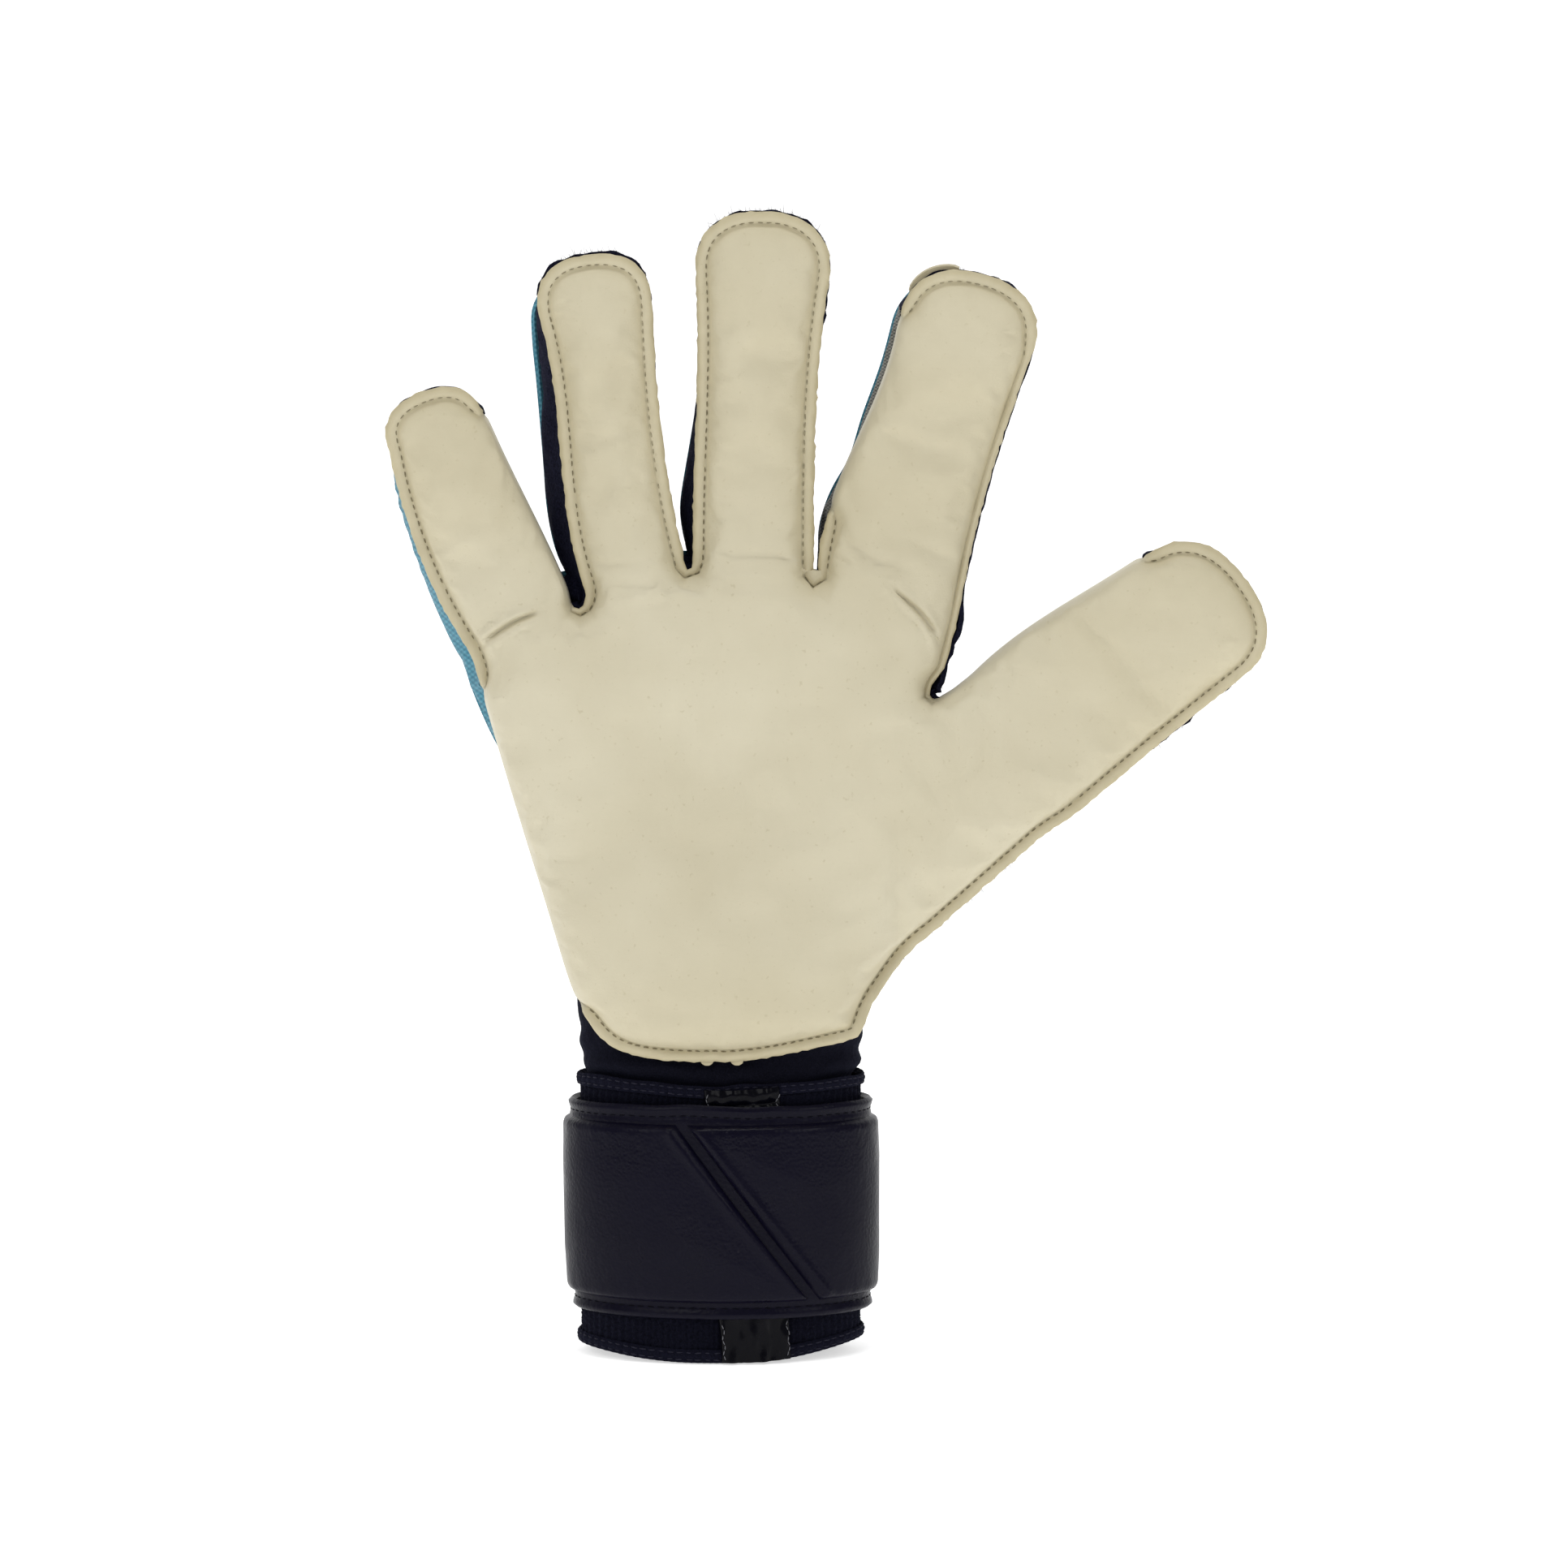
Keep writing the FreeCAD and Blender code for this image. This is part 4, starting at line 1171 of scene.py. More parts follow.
# Where the gusset's seam allowance stands out past the latex: (finger, side, from, to, how far).
PEEKS = (("ring", 0, 0, 99, 1.2), ("middle", 0, 0, 99, 0.9), ("middle", 1, 62, 99, 1.3),
         ("ring", -1, 8, 99, 0.8), ("thumb", 1, 22, 40, 1.3), ("thumb", 1, 44, 99, 1.1),
         ("index", 1, -8, 4, 1.4), ("index", 0, 60, 99, 0.4), ("middle", -1, 4, 40, 0.8),
         ("little", 0, 0, 99, 0.3), ("thumb", 0, 60, 99, 0.2))
TIP_LAYER = (-14.5, -3.0)   # where the index fingertip's second layer of latex shows, across the finger


def on_side(name, side):
    """The outline points on one side of a finger. Side 0 is its tip."""
    return (OWNER == ORDER.index(name)) & (SIDE == side)


def tip_layer_points():
    """The outline points of the index fingertip over which a second layer of latex shows."""
    u, _ = FINGERS["index"].local(OUTLINE)
    return np.flatnonzero(on_side("index", 0) & (u > TIP_LAYER[0]) & (u < TIP_LAYER[1]))


peek = np.full(COUNT, 0.15)
for name, side, low, high, amount in PEEKS:
    peek[on_side(name, side) & (ALONG > low) & (ALONG < high)] = amount
thumb_side = (OWNER < 0) & (OUTLINE[:, 0] > 40)
peek[thumb_side & (OUTLINE[:, 1] < 125)] = 0.9      # the heel
peek[thumb_side & (OUTLINE[:, 1] > 150)] = 2.6      # the web between index finger and thumb
peek[tip_layer_points()] = 1.0
peek = smooth_loop(peek, 6)
wall_front_y = -SEAM_DEPTH + SHARE * (LATEX - 0.2) + (1 - SHARE) * 3.0
wall_back_y = BACK_DEPTH - 0.6
front_out = SHARE * 2.0 - (1 - SHARE) * (LATEX + 0.3)
rim = np.full(COUNT, RIM)
rim[on_side("ring", -1) & (ALONG > BLUE_RIM_START)] = BLUE_RIM
back_out = ((BACK.edge - SEAM) * NORMAL).sum(1) - smooth_loop(rim, 8)
wall_rows = []
for value in np.linspace(0, 1, GUSSET_ROWS):
    edge = bell(value, 0.14)
    bulge = math.sin(math.pi * value)
    out = front_out + (back_out - front_out) * smoothstep(value * 1.15 - 0.05)
    out = out + SHARE * (edge * (peek + (0.15 + 0.45 * np.minimum(peek, 1.2)) * fuzz) + 0.7 * bulge)
    out = out + 0.35 * ripple(OUTLINE + np.array([0, 40 * value]), 9, 33) * bulge
    y = wall_front_y + (wall_back_y - wall_front_y) * value
    wall_rows.append(at_depth(SEAM + NORMAL * out[:, None], y))
wall_points = bend_to_curve(np.vstack(wall_rows), np.tile(SECTION, GUSSET_ROWS))
wall_faces, wall_sections = edge_strips(np.arange(COUNT), [COUNT * k for k in range(1, GUSSET_ROWS)], closed)
wall_normals = vertex_normals(wall_points, wall_faces)
face_index = np.array([f[0] % COUNT for f in wall_faces])
blue_side = on_side("little", -1) | ((OWNER < 0) & (OUTLINE[:, 0] < -36) & (OUTLINE[:, 1] > 136))
taupe_side = on_side("index", -1)
GUSSET_NODES = (["outer_side_gusset", "thumb_side_gusset", "thumb_web_gusset", "finger_webs"],
                ["base_gussets"], ["tip_gusset"])
for label, mine, cloth in (("side_gusset", ~(blue_side | taupe_side), "gusset"),
                           ("side_knit", blue_side, "blue"), ("side_mesh", taupe_side, "mesh")):
    chosen = mine[face_index]
    faces, sections = [f for f, keep in zip(wall_faces, chosen) if keep], wall_sections[chosen]
    strips = split_shell(label, wall_points, faces, sections, wall_normals, KNIT, MATERIALS[cloth],
                         None,
                         GUSSET_NODES if cloth == "gusset" else ([], [], []))
    for strip in strips:
        section = SECTION_NAMES.index(strip.name[:-len(label) - 1])


# ---- stitches -----------------------------------------------------------------------------------
STITCH_SHAPE = ((-1.0, 0.35), (-0.7, 0.85), (0.0, 1.0), (0.7, 0.85), (1.0, 0.35))   # place along, thickness
STITCH_SIDES = 6
STITCHED = 0.635            # share of the full flange from which the stitches show


def at_length(values, s, where):
    """The value at a distance along a line whose points lie at distances s."""
    return np.array([np.interp(where, s, values[:, k]) for k in range(3)])


def stitches(name, paths, pitch, length, radius, material, shade=None):
    """A piece of sewing thread: short bowed stitches along each (points, normals) path. shade gives the
    thread's tint from its points."""
    points, faces = [], []
    rows = len(STITCH_SHAPE)
    for path, normals in paths:
        s = length_along(path)
        for c in np.arange(pitch * 0.5, s[-1], pitch):
            c = c + RANDOM.uniform(-0.06, 0.06) * pitch
            middle, normal = at_length(path, s, c), at_length(normals, s, c)
            tangent = at_length(path, s, min(c + 0.4, s[-1])) - at_length(path, s, max(c - 0.4, 0))
            if np.linalg.norm(tangent) < 1e-6:
                continue
            tangent /= np.linalg.norm(tangent)
            side = np.cross(normal, tangent)
            side /= max(np.linalg.norm(side), 1e-9)
            tangent = tangent + side * RANDOM.uniform(-0.10, 0.10)
            up = np.cross(tangent, side)
            first = len(points)
            for place, thick in STITCH_SHAPE:
                hub = middle + tangent * place * length / 2 + up * radius * (0.75 - 1.3 * place * place)
                for turn in np.arange(STITCH_SIDES) * 2 * math.pi / STITCH_SIDES:
                    points.append(hub + (side * math.cos(turn) + up * math.sin(turn)) * radius * thick)
            faces += grid_faces(rows, STITCH_SIDES, first, closed=True)
            faces.append(tuple(range(first + STITCH_SIDES - 1, first - 1, -1)))
            faces.append(tuple(range(first + (rows - 1) * STITCH_SIDES, first + rows * STITCH_SIDES)))
    points = np.array(points)
    return new_piece(name, points, faces, MATERIALS[material], tint=shade and shade(points))


def runs(mask):
    """The index runs of a closed row where mask holds."""
    if mask.all():
        return [np.arange(len(mask))]
    starts = np.flatnonzero(mask & ~np.roll(mask, 1))
    found = []
    for a in starts:
        b = a
        while mask[(b + 1) % len(mask)]:
            b += 1
        found.append(np.arange(a, b + 1) % len(mask))
    return [r for r in found if len(r) > 2]


seam_line = at_depth(SEAM + NORMAL * (WIDTH * FLANGE_OUT[0])[:, None], -SEAM_DEPTH - 0.12)
seam_line = bend_to_curve(seam_line, SECTION)
seam_normal = latex_normals[BASE:BASE + COUNT] * 0.4 + np.array([0, -0.6, 0])
# Stitches that sink into a folded flange look paler: by finger and side.
PALE = np.full(COUNT, 0.12)
for name, side, amount in (("ring", 1, 0.85), ("middle", 1, 0.75), ("index", 0, 0.75), ("index", 1, 0.95),
                           ("ring", 0, 0.45), ("middle", 0, 0.45), ("little", 0, 0.35)):
    PALE[on_side(name, side)] = amount
PALE[(OWNER < 0) & (OUTLINE[:, 1] > 150)] = 0.8
PALE = smooth_loop(PALE, 12)
for section, section_name in enumerate(SECTION_NAMES):
    sewn = runs((SECTION == section) & (WIDTH > STITCHED * FLANGE))
    if sewn:
        attach(stitches(f"{section_name}_seam_thread", [(seam_line[run], seam_normal[run]) for run in sewn],
                        2.1, 1.45, 0.175, "thread_olive", lambda p: PALE[nearest(p, seam_line)[1]]), section)

# ---- loose fibres along the gussets' cut edges --------------------------------------------------
FIBRE_ROW = 1               # row of the gusset wall that the fibres grow from
FIBRE_PEEK = 0.7            # they show only where the gusset stands out this far
FIBRE_RADIUS = 0.045
FIBRES_EACH = 4             # from each point of the outline
wall_grid = wall_points.reshape(GUSSET_ROWS, COUNT, 3)


def fibres(section):
    """Short bent navy fibres, three-sided and pointed, on one section's gusset edge."""
    points, faces = [], []
    for i in np.flatnonzero((SECTION == section) & (peek > FIBRE_PEEK) & closed & (SHARE > 0.8)):
        for _ in range(FIBRES_EACH):
            j = (i + 1) % COUNT
            share = RANDOM.uniform()
            root = wall_grid[FIBRE_ROW, i] * (1 - share) + wall_grid[FIBRE_ROW, j] * share
            aim = np.array([NORMAL[i, 0], 0, NORMAL[i, 1]]) + RANDOM.normal(0, 0.55, 3)
            bend = RANDOM.normal(0, 0.35, 3)
            length = RANDOM.uniform(0.5, 1.5)
            first = len(points)
            for step in (0.0, 0.4, 0.8):
                hub = root + (aim * step + bend * step ** 2) * length
                around = [np.array([math.cos(a), math.sin(a), 0.3 * math.sin(a + 1)]) for a in (0.0, 2.1, 4.2)]
                points += [hub + FIBRE_RADIUS * (1.2 - step) * spoke for spoke in around]
            faces += grid_faces(3, 3, first, closed=True)
            points.append(root + (aim + bend) * length)
            top = first + 6
            faces += [(top, top + 1, top + 3), (top + 1, top + 2, top + 3), (top + 2, top, top + 3),
                      (first, first + 2, first + 1)]
    return points, faces


for section, section_name in enumerate(SECTION_NAMES):
    points, faces = fibres(section)
    if points:
        fuzz_piece = new_piece(f"{section_name}_gusset_fibres", np.array(points), faces, MATERIALS["gusset"])
        attach(fuzz_piece, section)

# ---- the knuckle pad ----------------------------------------------------------------------------
back_tree = BVHTree.FromPolygons([Vector(p) for p in back_flat_points], back_faces)


def back_height(x, z):
    hit = back_tree.ray_cast(Vector((x, 80, z)), Vector((0, -1, 0)))[0]
    return hit.y if hit else BACK_EDGE


PAD_GROOVES = (-30.0, -10.5, 8.5, 28.0)      # x of the grooves that let the knuckle pad bend sideways


def knuckle_pad():
    """A bowed pad over the knuckles, with grooves between them and rounded ends."""
    low, high = (np.array(c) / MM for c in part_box("knuckle_pad"))
    middle, half = (low + high) / 2, (high - low) / 2
    u = np.sin(np.linspace(-1, 1, 141) * math.pi / 2 * 0.96) / math.sin(math.pi / 2 * 0.96)
    v = np.linspace(-1, 1, 33)
    x = middle[0] + half[0] * u
    tall = half[2] * np.maximum(1 - np.abs(u) ** 3.2, 0.004) ** 0.5
    rise_line = middle[2] + 2 - 5.0 * u ** 2
    points = []
    for row in v:
        for k in range(len(u)):
            z = rise_line[k] + tall[k] * row
            edge = min(tall[k] * (1 - abs(row)), half[0] * (1 - abs(u[k])) * 1.6)
            rise = 2.7 * math.sqrt(max(0.0, 1 - max(0.0, 1 - edge / 3.4) ** 2))
            groove = max(bell(x[k] - g - 0.006 * (z - middle[2]) * g, 1.1) for g in PAD_GROOVES)
            rise -= 1.7 * groove * min(1.0, edge / 2.0)
            points.append((x[k], back_height(x[k], z) + 0.2 + rise, z))
    points = np.array(points)
    heights = points[:, 1].reshape(len(v), len(u))
    for _ in range(3):
        heights[1:-1, 1:-1] = (heights[1:-1, 1:-1] * 2 + heights[:-2, 1:-1] + heights[2:, 1:-1]) / 4
    points[:, 1] = heights.reshape(-1)
    faces = flipped(grid_faces(len(v), len(u)))
    normals = vertex_normals(points, faces)
    pad = shell("knuckle_pad_cover", points, faces, normals, 1.2, MATERIALS["navy_pad"])
    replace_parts(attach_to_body(pad, "palm"), "knuckle_pad")


knuckle_pad()

# ---- the wrist ----------------------------------------------------------------------------------
CUFF_HALF = np.array(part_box("cuff_band")[1])[:2] / MM       # the cuff's half widths


def wrist_points(angles, grow):
    """Points round the cuff's oval, moved out by grow, at the given angles in degrees, and the normals."""
    a, b = CUFF_HALF[0] + grow, CUFF_HALF[1] + grow
    turn = np.radians(angles)
    r = a * b / np.sqrt((b * np.cos(turn)) ** 2 + (a * np.sin(turn)) ** 2)
    x, y = r * np.cos(turn), r * np.sin(turn)
    normal = np.stack([x / a ** 2, y / b ** 2, np.zeros_like(x)], axis=-1)
    return x, y, normal / np.linalg.norm(normal, axis=-1)[..., None]


def wrist_sheet(name, turn, z, grow, wall, material, closed=False):
    """A sheet round the wrist on a grid of angles and heights, whose rows run up. Gives the piece, and its
    points and normals on the grid."""
    turn, z, grow = np.broadcast_arrays(turn, z, grow)
    x, y, _ = wrist_points(turn, grow)
    points = np.stack([x, y, z], axis=-1)
    flat = points.reshape(-1, 3)
    faces = grid_faces(*turn.shape, closed=closed)
    normals = vertex_normals(flat, faces)
    piece = shell(name, flat, faces, normals, wall, MATERIALS[material])
    return piece, points, normals.reshape(points.shape)


def heights_between(low, high, step, past):
    """Heights from low at an even step to high. The last one is moved to high from at most past beyond it."""
    heights = np.arange(low, high + past, step)
    heights[-1] = high
    return heights


def wave(angles, z, length, seed):
    """Unevenness round the wrist."""
    x = np.radians(angles)
    draw = np.random.default_rng(seed)
    value = 0
    for k in (2, 3, 5, 8, 13):
        phase, lean = draw.uniform(0, 6.28), draw.uniform(-1, 1)
        value = value + np.sin(k * x + phase + lean * z / length) / math.sqrt(k)
    return value / 2


def worn(angles, z):
    """How far the soft cuff's edges are pulled up or down: the lower edge rises at the sides, and the upper one
    dips in front."""
    turn = np.radians(angles)
    side = np.cos(turn)
    lift = np.where(side > 0, 3.6, 2.3) * np.abs(side) ** 4 * smoothstep((14 - z) / 14)
    front = np.clip(-np.sin(turn), 0, 1)
    return lift - 1.5 * front ** 3 * smoothstep((z - 54) / 10)


ROUND = np.arange(0, 360, 1.0)
FINE_ROUND = np.arange(0, 360, 0.6)


def cuff():
    heights = np.concatenate([np.arange(2.4, 12, 0.6), np.arange(14, 56, 6.0), np.arange(57, 65.4, 0.6)])
    turn, z = np.meshgrid(FINE_ROUND, heights)
    arc = np.radians(turn) * 28
    rib = np.cos(arc * 2 * math.pi / 1.75 + 0.5 * np.sin(z * 2.1))
    terry = np.cos(z * 2 * math.pi / 1.7 + arc * 1.2) * np.cos(arc * 2 * math.pi / 1.9 - 0.7 * z)
    grow = 0.05 + 0.16 * rib + 0.22 * terry + 0.45 * wave(turn, z, 14, 51) - 0.4
    piece, _, _ = wrist_sheet("cuff_rib_knit", turn, z + worn(turn, z), grow, 2.0, "cuff", closed=True)
    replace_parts(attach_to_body(piece, "palm"), "cuff_band")


def binding(name, node, low, high, seed, edge_wave):
    """A folded tape round a cuff edge, with two rows of stitches. edge_wave makes its free edge wavy."""
    across = np.linspace(0, 1, 9)[:, None]
    free = across if high > 30 else 1 - across
    z = low + (high - low) * across + edge_wave * wave(ROUND, 0, 10, seed) * free
    puff = 0.55 * np.sqrt(np.clip(1 - np.abs(2 * across - 1) ** 3, 0, 1))
    dent = 0.28 * (bell(across - 0.27, 0.09) + bell(across - 0.73, 0.09))
    grow = 0.1 + puff - dent + 0.25 * wave(ROUND, z, 9, seed + 1) + 0.12 * np.cos(np.radians(ROUND) * 90)
    piece, points, normals = wrist_sheet(name, ROUND, z + worn(ROUND, z), grow, 1.9, "binding", closed=True)
    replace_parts(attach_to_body(piece, "palm"), node)
    paths = [[np.vstack([grid[row], grid[row][:1]]) for grid in (points, normals)] for row in (2, 6)]
    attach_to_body(stitches(f"{name}_thread", paths, 2.4, 1.7, 0.17, "thread_cuff"), "palm")


def sleeve():
    """The stretch sleeve between the hand and the cuff, gathered into soft folds."""
    heights = np.arange(62.5, 94, 0.9)
    turn, z = np.meshgrid(ROUND, heights)
    side, front = np.cos(np.radians(turn)) ** 2, np.sin(np.radians(turn)) ** 2
    gather = 0.55 * np.sin(z * 2 * math.pi / 7.5 + 2.2 * wave(turn, z, 30, 61)) * smoothstep((84 - z) / 10)
    grow = -2.4 + 2.0 * smoothstep((z - 68) / 4) * side - 1.6 * smoothstep((z - 70) / 5) * front
    grow = grow + 0.9 * smoothstep((z - 76) / 10) * side + gather + 0.5 * wave(turn, z, 16, 62)
    piece, _, _ = wrist_sheet("wrist_sleeve_cloth", turn, z, grow, LINING, "sleeve", closed=True)
    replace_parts(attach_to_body(piece, "palm"), "wrist_sleeve")


def taper(angles, z):
    """The strap sits closer at its lower edge, on the little-finger side."""
    down = np.clip((PAD_HIGH - z) / (PAD_HIGH - PAD_LOW), 0, 1)
    return -np.clip(-np.cos(np.radians(angles)), 0, 1) * down


def front_angle(x, grow):
    """The angle, in degrees, at which the front of the oval reaches x."""
    a, b = CUFF_HALF[0] + grow, CUFF_HALF[1] + grow
    turn = -np.arccos(np.clip(x / a, -1, 1))
    return np.degrees(np.arctan2(b * np.sin(turn), a * np.cos(turn))) % 360


def strip_grow(x, z, edge):
    """How far the gloss strip stands out: rounded edges, soft creases and the rolled upper end."""
    roll = 0.65 * bell(z - 66.3, 1.3) - 0.5 * bell(z - 64.0, 0.6)
    crease = 0.6 * np.sin(x * 0.8 + 1.3 * np.sin(z * 0.33))
    crease = crease + 0.5 * np.sin(x * 1.8 + 1 + 1.1 * np.sin(z * 0.55 + 2))
    return 0.55 + 0.75 * rounded(edge / 1.2) * (1 + 0.62 * crease) + roll * smoothstep(edge / 1.5)


def across_strip(z, share):
    """The gloss strip's x at a share of its width. It narrows and leans to the left towards its top."""
    return 0.5 - 4.2 * z / 66 + (16.5 + 1.6 * z / 66) * share


def seam_strip():
    """The glossy strip up the front of the cuff, with a rolled upper edge, sewn down where it shows."""
    z = np.concatenate([np.arange(0.3, 12, 0.6), np.arange(14, 56, 6.0), np.arange(57, 68.2, 0.45)])[:, None]
    share = np.linspace(0, 1, 36)
    x = across_strip(z, share)
    turn = front_angle(x, 0.5)
    grow = strip_grow(x, z, np.minimum(share, 1 - share) * 17)
    piece, _, _ = wrist_sheet("cuff_gloss_strip", turn, z + worn(turn, z), grow, 0.9, "strip")
    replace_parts(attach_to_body(piece, "palm"), "cuff_seam_strip")
    paths = []
    for share in (0.05, 0.95):
        for low, high in ((1.0, 10.5), (57.5, 67.0)):
            z = np.arange(low, high, 0.4)
            x = across_strip(z, share) + 0.22 * np.sin(z * 1.7 + share * 9)
            turn = front_angle(x, 0.5)
            px, py, normal = wrist_points(turn, strip_grow(x, z, 0.9) + 0.08)
            paths.append((np.stack([px, py, z + worn(turn, z)], axis=1), normal))
    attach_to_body(stitches("cuff_gloss_strip_thread", paths, 1.3, 1.05, 0.12, "thread_pale"), "palm")


# The strap, from the CAD's sizes.
STRAP_LOW, STRAP_HIGH = (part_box("strap_band")[k][2] / MM for k in (0, 1))
PAD_LOW, PAD_HIGH = (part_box("strap_pad_outer")[k][2] / MM for k in (0, 1))
BAND_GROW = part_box("strap_band")[1][0] / MM - CUFF_HALF[0]
PAD_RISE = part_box("strap_pad_thumb")[1][0] / MM - CUFF_HALF[0] - BAND_GROW
BAND_WALL = 1.25
FLAP_GROW = BAND_GROW + 1.9
PAD_ROUND, PAD_CROWN = 2.4, 16.0        # radius of the pads' edges, and distance over which they crown
FLAP_START, FLAP_BENT = 20.5, 44.0      # the flap's sewn end, and a second angle along the flap
TAB_LOW, TAB_HIGH, TAB_END = 25.0, 49.0, 153.0
STRAP_STITCH = 2.9          # the stitches' distance from the strap's edges
FLAP_END, DEGREE = 140.0, 0.42      # the angle where the flap ends, and the length of a degree there
CHANNEL_TOP, CHANNEL_BOTTOM, CHANNEL_HALF = -9.2, 22.6, 1.15     # the slanting channel's x, and half its width


def strap_lip(edge, groove):
    """The strap's raised lip and the sunk line of its stitches, at a distance from its edge."""
    return 0.35 * bell(edge - 0.9, 0.7) - 0.40 * bell(edge - STRAP_STITCH, groove)


def nearest_index(values, target):
    return int(np.abs(values - target).argmin())


def strap_band():
    heights = heights_between(STRAP_LOW, STRAP_HIGH, 0.65, 0.3)
    turn, z = np.meshgrid(np.arange(62.0, 384.4, 0.9), heights)
    edge = np.minimum(z - STRAP_LOW, STRAP_HIGH - z)
    grow = BAND_GROW + strap_lip(edge, 0.45) + 0.16 * wave(turn, z, 12, 71)
    grow = grow - 0.5 * np.clip(1 - edge / 0.7, 0, 1) ** 2 + taper(turn, z)
    z = z + 0.45 * wave(turn, 0, 10, 72) * smoothstep((z - 40) / 20)
    piece, points, normals = wrist_sheet("strap_band_leather", turn, z, grow, BAND_WALL, "strap")
    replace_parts(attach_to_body(piece, "palm"), "strap_band")
    rows = [nearest_index(heights, t) for t in (STRAP_LOW + STRAP_STITCH, STRAP_HIGH - STRAP_STITCH)]
    paths = [(points[row], normals[row]) for row in rows]
    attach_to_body(stitches("strap_band_thread", paths, 2.6, 1.9, 0.17, "thread_navy"), "palm")


def strap_pad(name, node, start, end, channel_side):
    """A padded field on the strap. channel_side is 1 where the pad's end is the slanting channel, -1 where
    its start is."""
    heights = heights_between(PAD_LOW, PAD_HIGH, 0.55, 0.2)
    slant = CHANNEL_TOP + (CHANNEL_BOTTOM - CHANNEL_TOP) * (PAD_HIGH - heights) / (PAD_HIGH - PAD_LOW)
    tilt = math.hypot(1, (CHANNEL_BOTTOM - CHANNEL_TOP) / (PAD_HIGH - PAD_LOW))
    cut = front_angle(slant - channel_side * CHANNEL_HALF * tilt, BAND_GROW)
    first = np.full(len(heights), start) if channel_side > 0 else cut
    last = cut if channel_side > 0 else np.full(len(heights), end)
    f = np.linspace(0, 1, 150)
    f = f - 0.12 * np.sin(2 * math.pi * f) / math.pi       # closer columns at both ends
    turn = first[:, None] + (last - first)[:, None] * f
    x, y, _ = wrist_points(turn, BAND_GROW + PAD_RISE)
    z = np.broadcast_to(heights[:, None], turn.shape)
    step = np.hypot(np.diff(x, axis=1), np.diff(y, axis=1))
    s = np.concatenate([np.zeros((len(heights), 1)), np.cumsum(step, axis=1)], axis=1)
    to_channel = (s[:, -1:] - s if channel_side > 0 else s) / tilt
    to_end = s if channel_side > 0 else s[:, -1:] - s
    edge = np.minimum(np.minimum(z - PAD_LOW, PAD_HIGH - z), np.minimum(to_channel, to_end))
    crown = 0.5 * smoothstep(edge / PAD_CROWN) - 0.45
    lip = 0.45 * bell(to_channel - 1.7, 1.3)
    soft = 0.10 * wave(turn, z, 6, 81) + 0.05 * np.sin(turn * 0.8 + z * 0.35) * np.exp(-edge / 4)
    rise = np.maximum(rounded(edge / PAD_ROUND) * (PAD_RISE + crown + lip + soft), 0.02)
    x, y, normal = wrist_points(turn, BAND_GROW + rise + taper(turn, z))
    points = np.stack([x, y, z], axis=-1).reshape(-1, 3)
    faces = grid_faces(len(heights), turn.shape[1])
    normals = vertex_normals(points, faces)
    piece = thick_pad(name, points, faces, normals, normal.reshape(-1, 3), (rise + 0.25).reshape(-1))
    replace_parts(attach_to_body(piece, "palm"), node)


def thick_pad(name, points, faces, normals, up, wall):
    """A closed pad: the given top, and an underside that lies at wall below it, against up."""
    under = points - up * wall[:, None]
    count = len(points)
    back, rim = close_up(faces, count)
    both = np.vstack([points, under])
    corner = [normals[i] for f in faces for i in f] + [-up[i - count] for f in back for i in f]
    for f in rim:
        corner += [normals[f[0]]] * 4
    return new_piece(name, both, faces + back + rim, MATERIALS["strap"], np.array(corner))


def strap_flap():
    """The flap that closes on the back, with moulded ribs."""
    heights = heights_between(STRAP_LOW, STRAP_HIGH, 0.9, 0.3)
    angles = np.arange(FLAP_START, FLAP_END + 0.2, 0.9)
    turn, z = np.meshgrid(angles, heights)
    edge = np.minimum(np.minimum(z - STRAP_LOW, STRAP_HIGH - z), (FLAP_END - turn) * DEGREE)
    mould = 0.9 * smoothstep((edge - 5.0) / 1.5) * smoothstep((turn - 62) / 4) * smoothstep((128 - turn) / 4)
    ribs = np.clip(np.cos((z - 36.7) * 2 * math.pi / 9.0), 0, 1) ** 0.5
    mould = mould * (1 - 0.3025 * ribs)
    fold_down = -(FLAP_GROW + BAND_WALL - BAND_GROW) * (1 - smoothstep((turn - FLAP_START) / 6.5)) * 0.8
    grow = FLAP_GROW + BAND_WALL + strap_lip(edge, 0.5) + mould + fold_down + 0.15 * wave(turn, z, 12, 91)
    flap, points, normals = wrist_sheet("strap_flap_leather", turn, z, grow, BAND_WALL, "strap")
    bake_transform(flap)
    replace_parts(flap, "strap_flap")
    low, high = (nearest_index(heights, t) for t in (STRAP_LOW + STRAP_STITCH, STRAP_HIGH - STRAP_STITCH))
    column = nearest_index(angles, FLAP_END - STRAP_STITCH / DEGREE)
    along = slice(nearest_index(angles, 48), column)
    paths = [(points[low, along], normals[low, along]), (points[high, along], normals[high, along]),
             (points[low:high, column], normals[low:high, column])]
    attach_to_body(stitches("strap_flap_thread", paths, 2.6, 1.9, 0.17, "thread_navy"), "strap_flap")


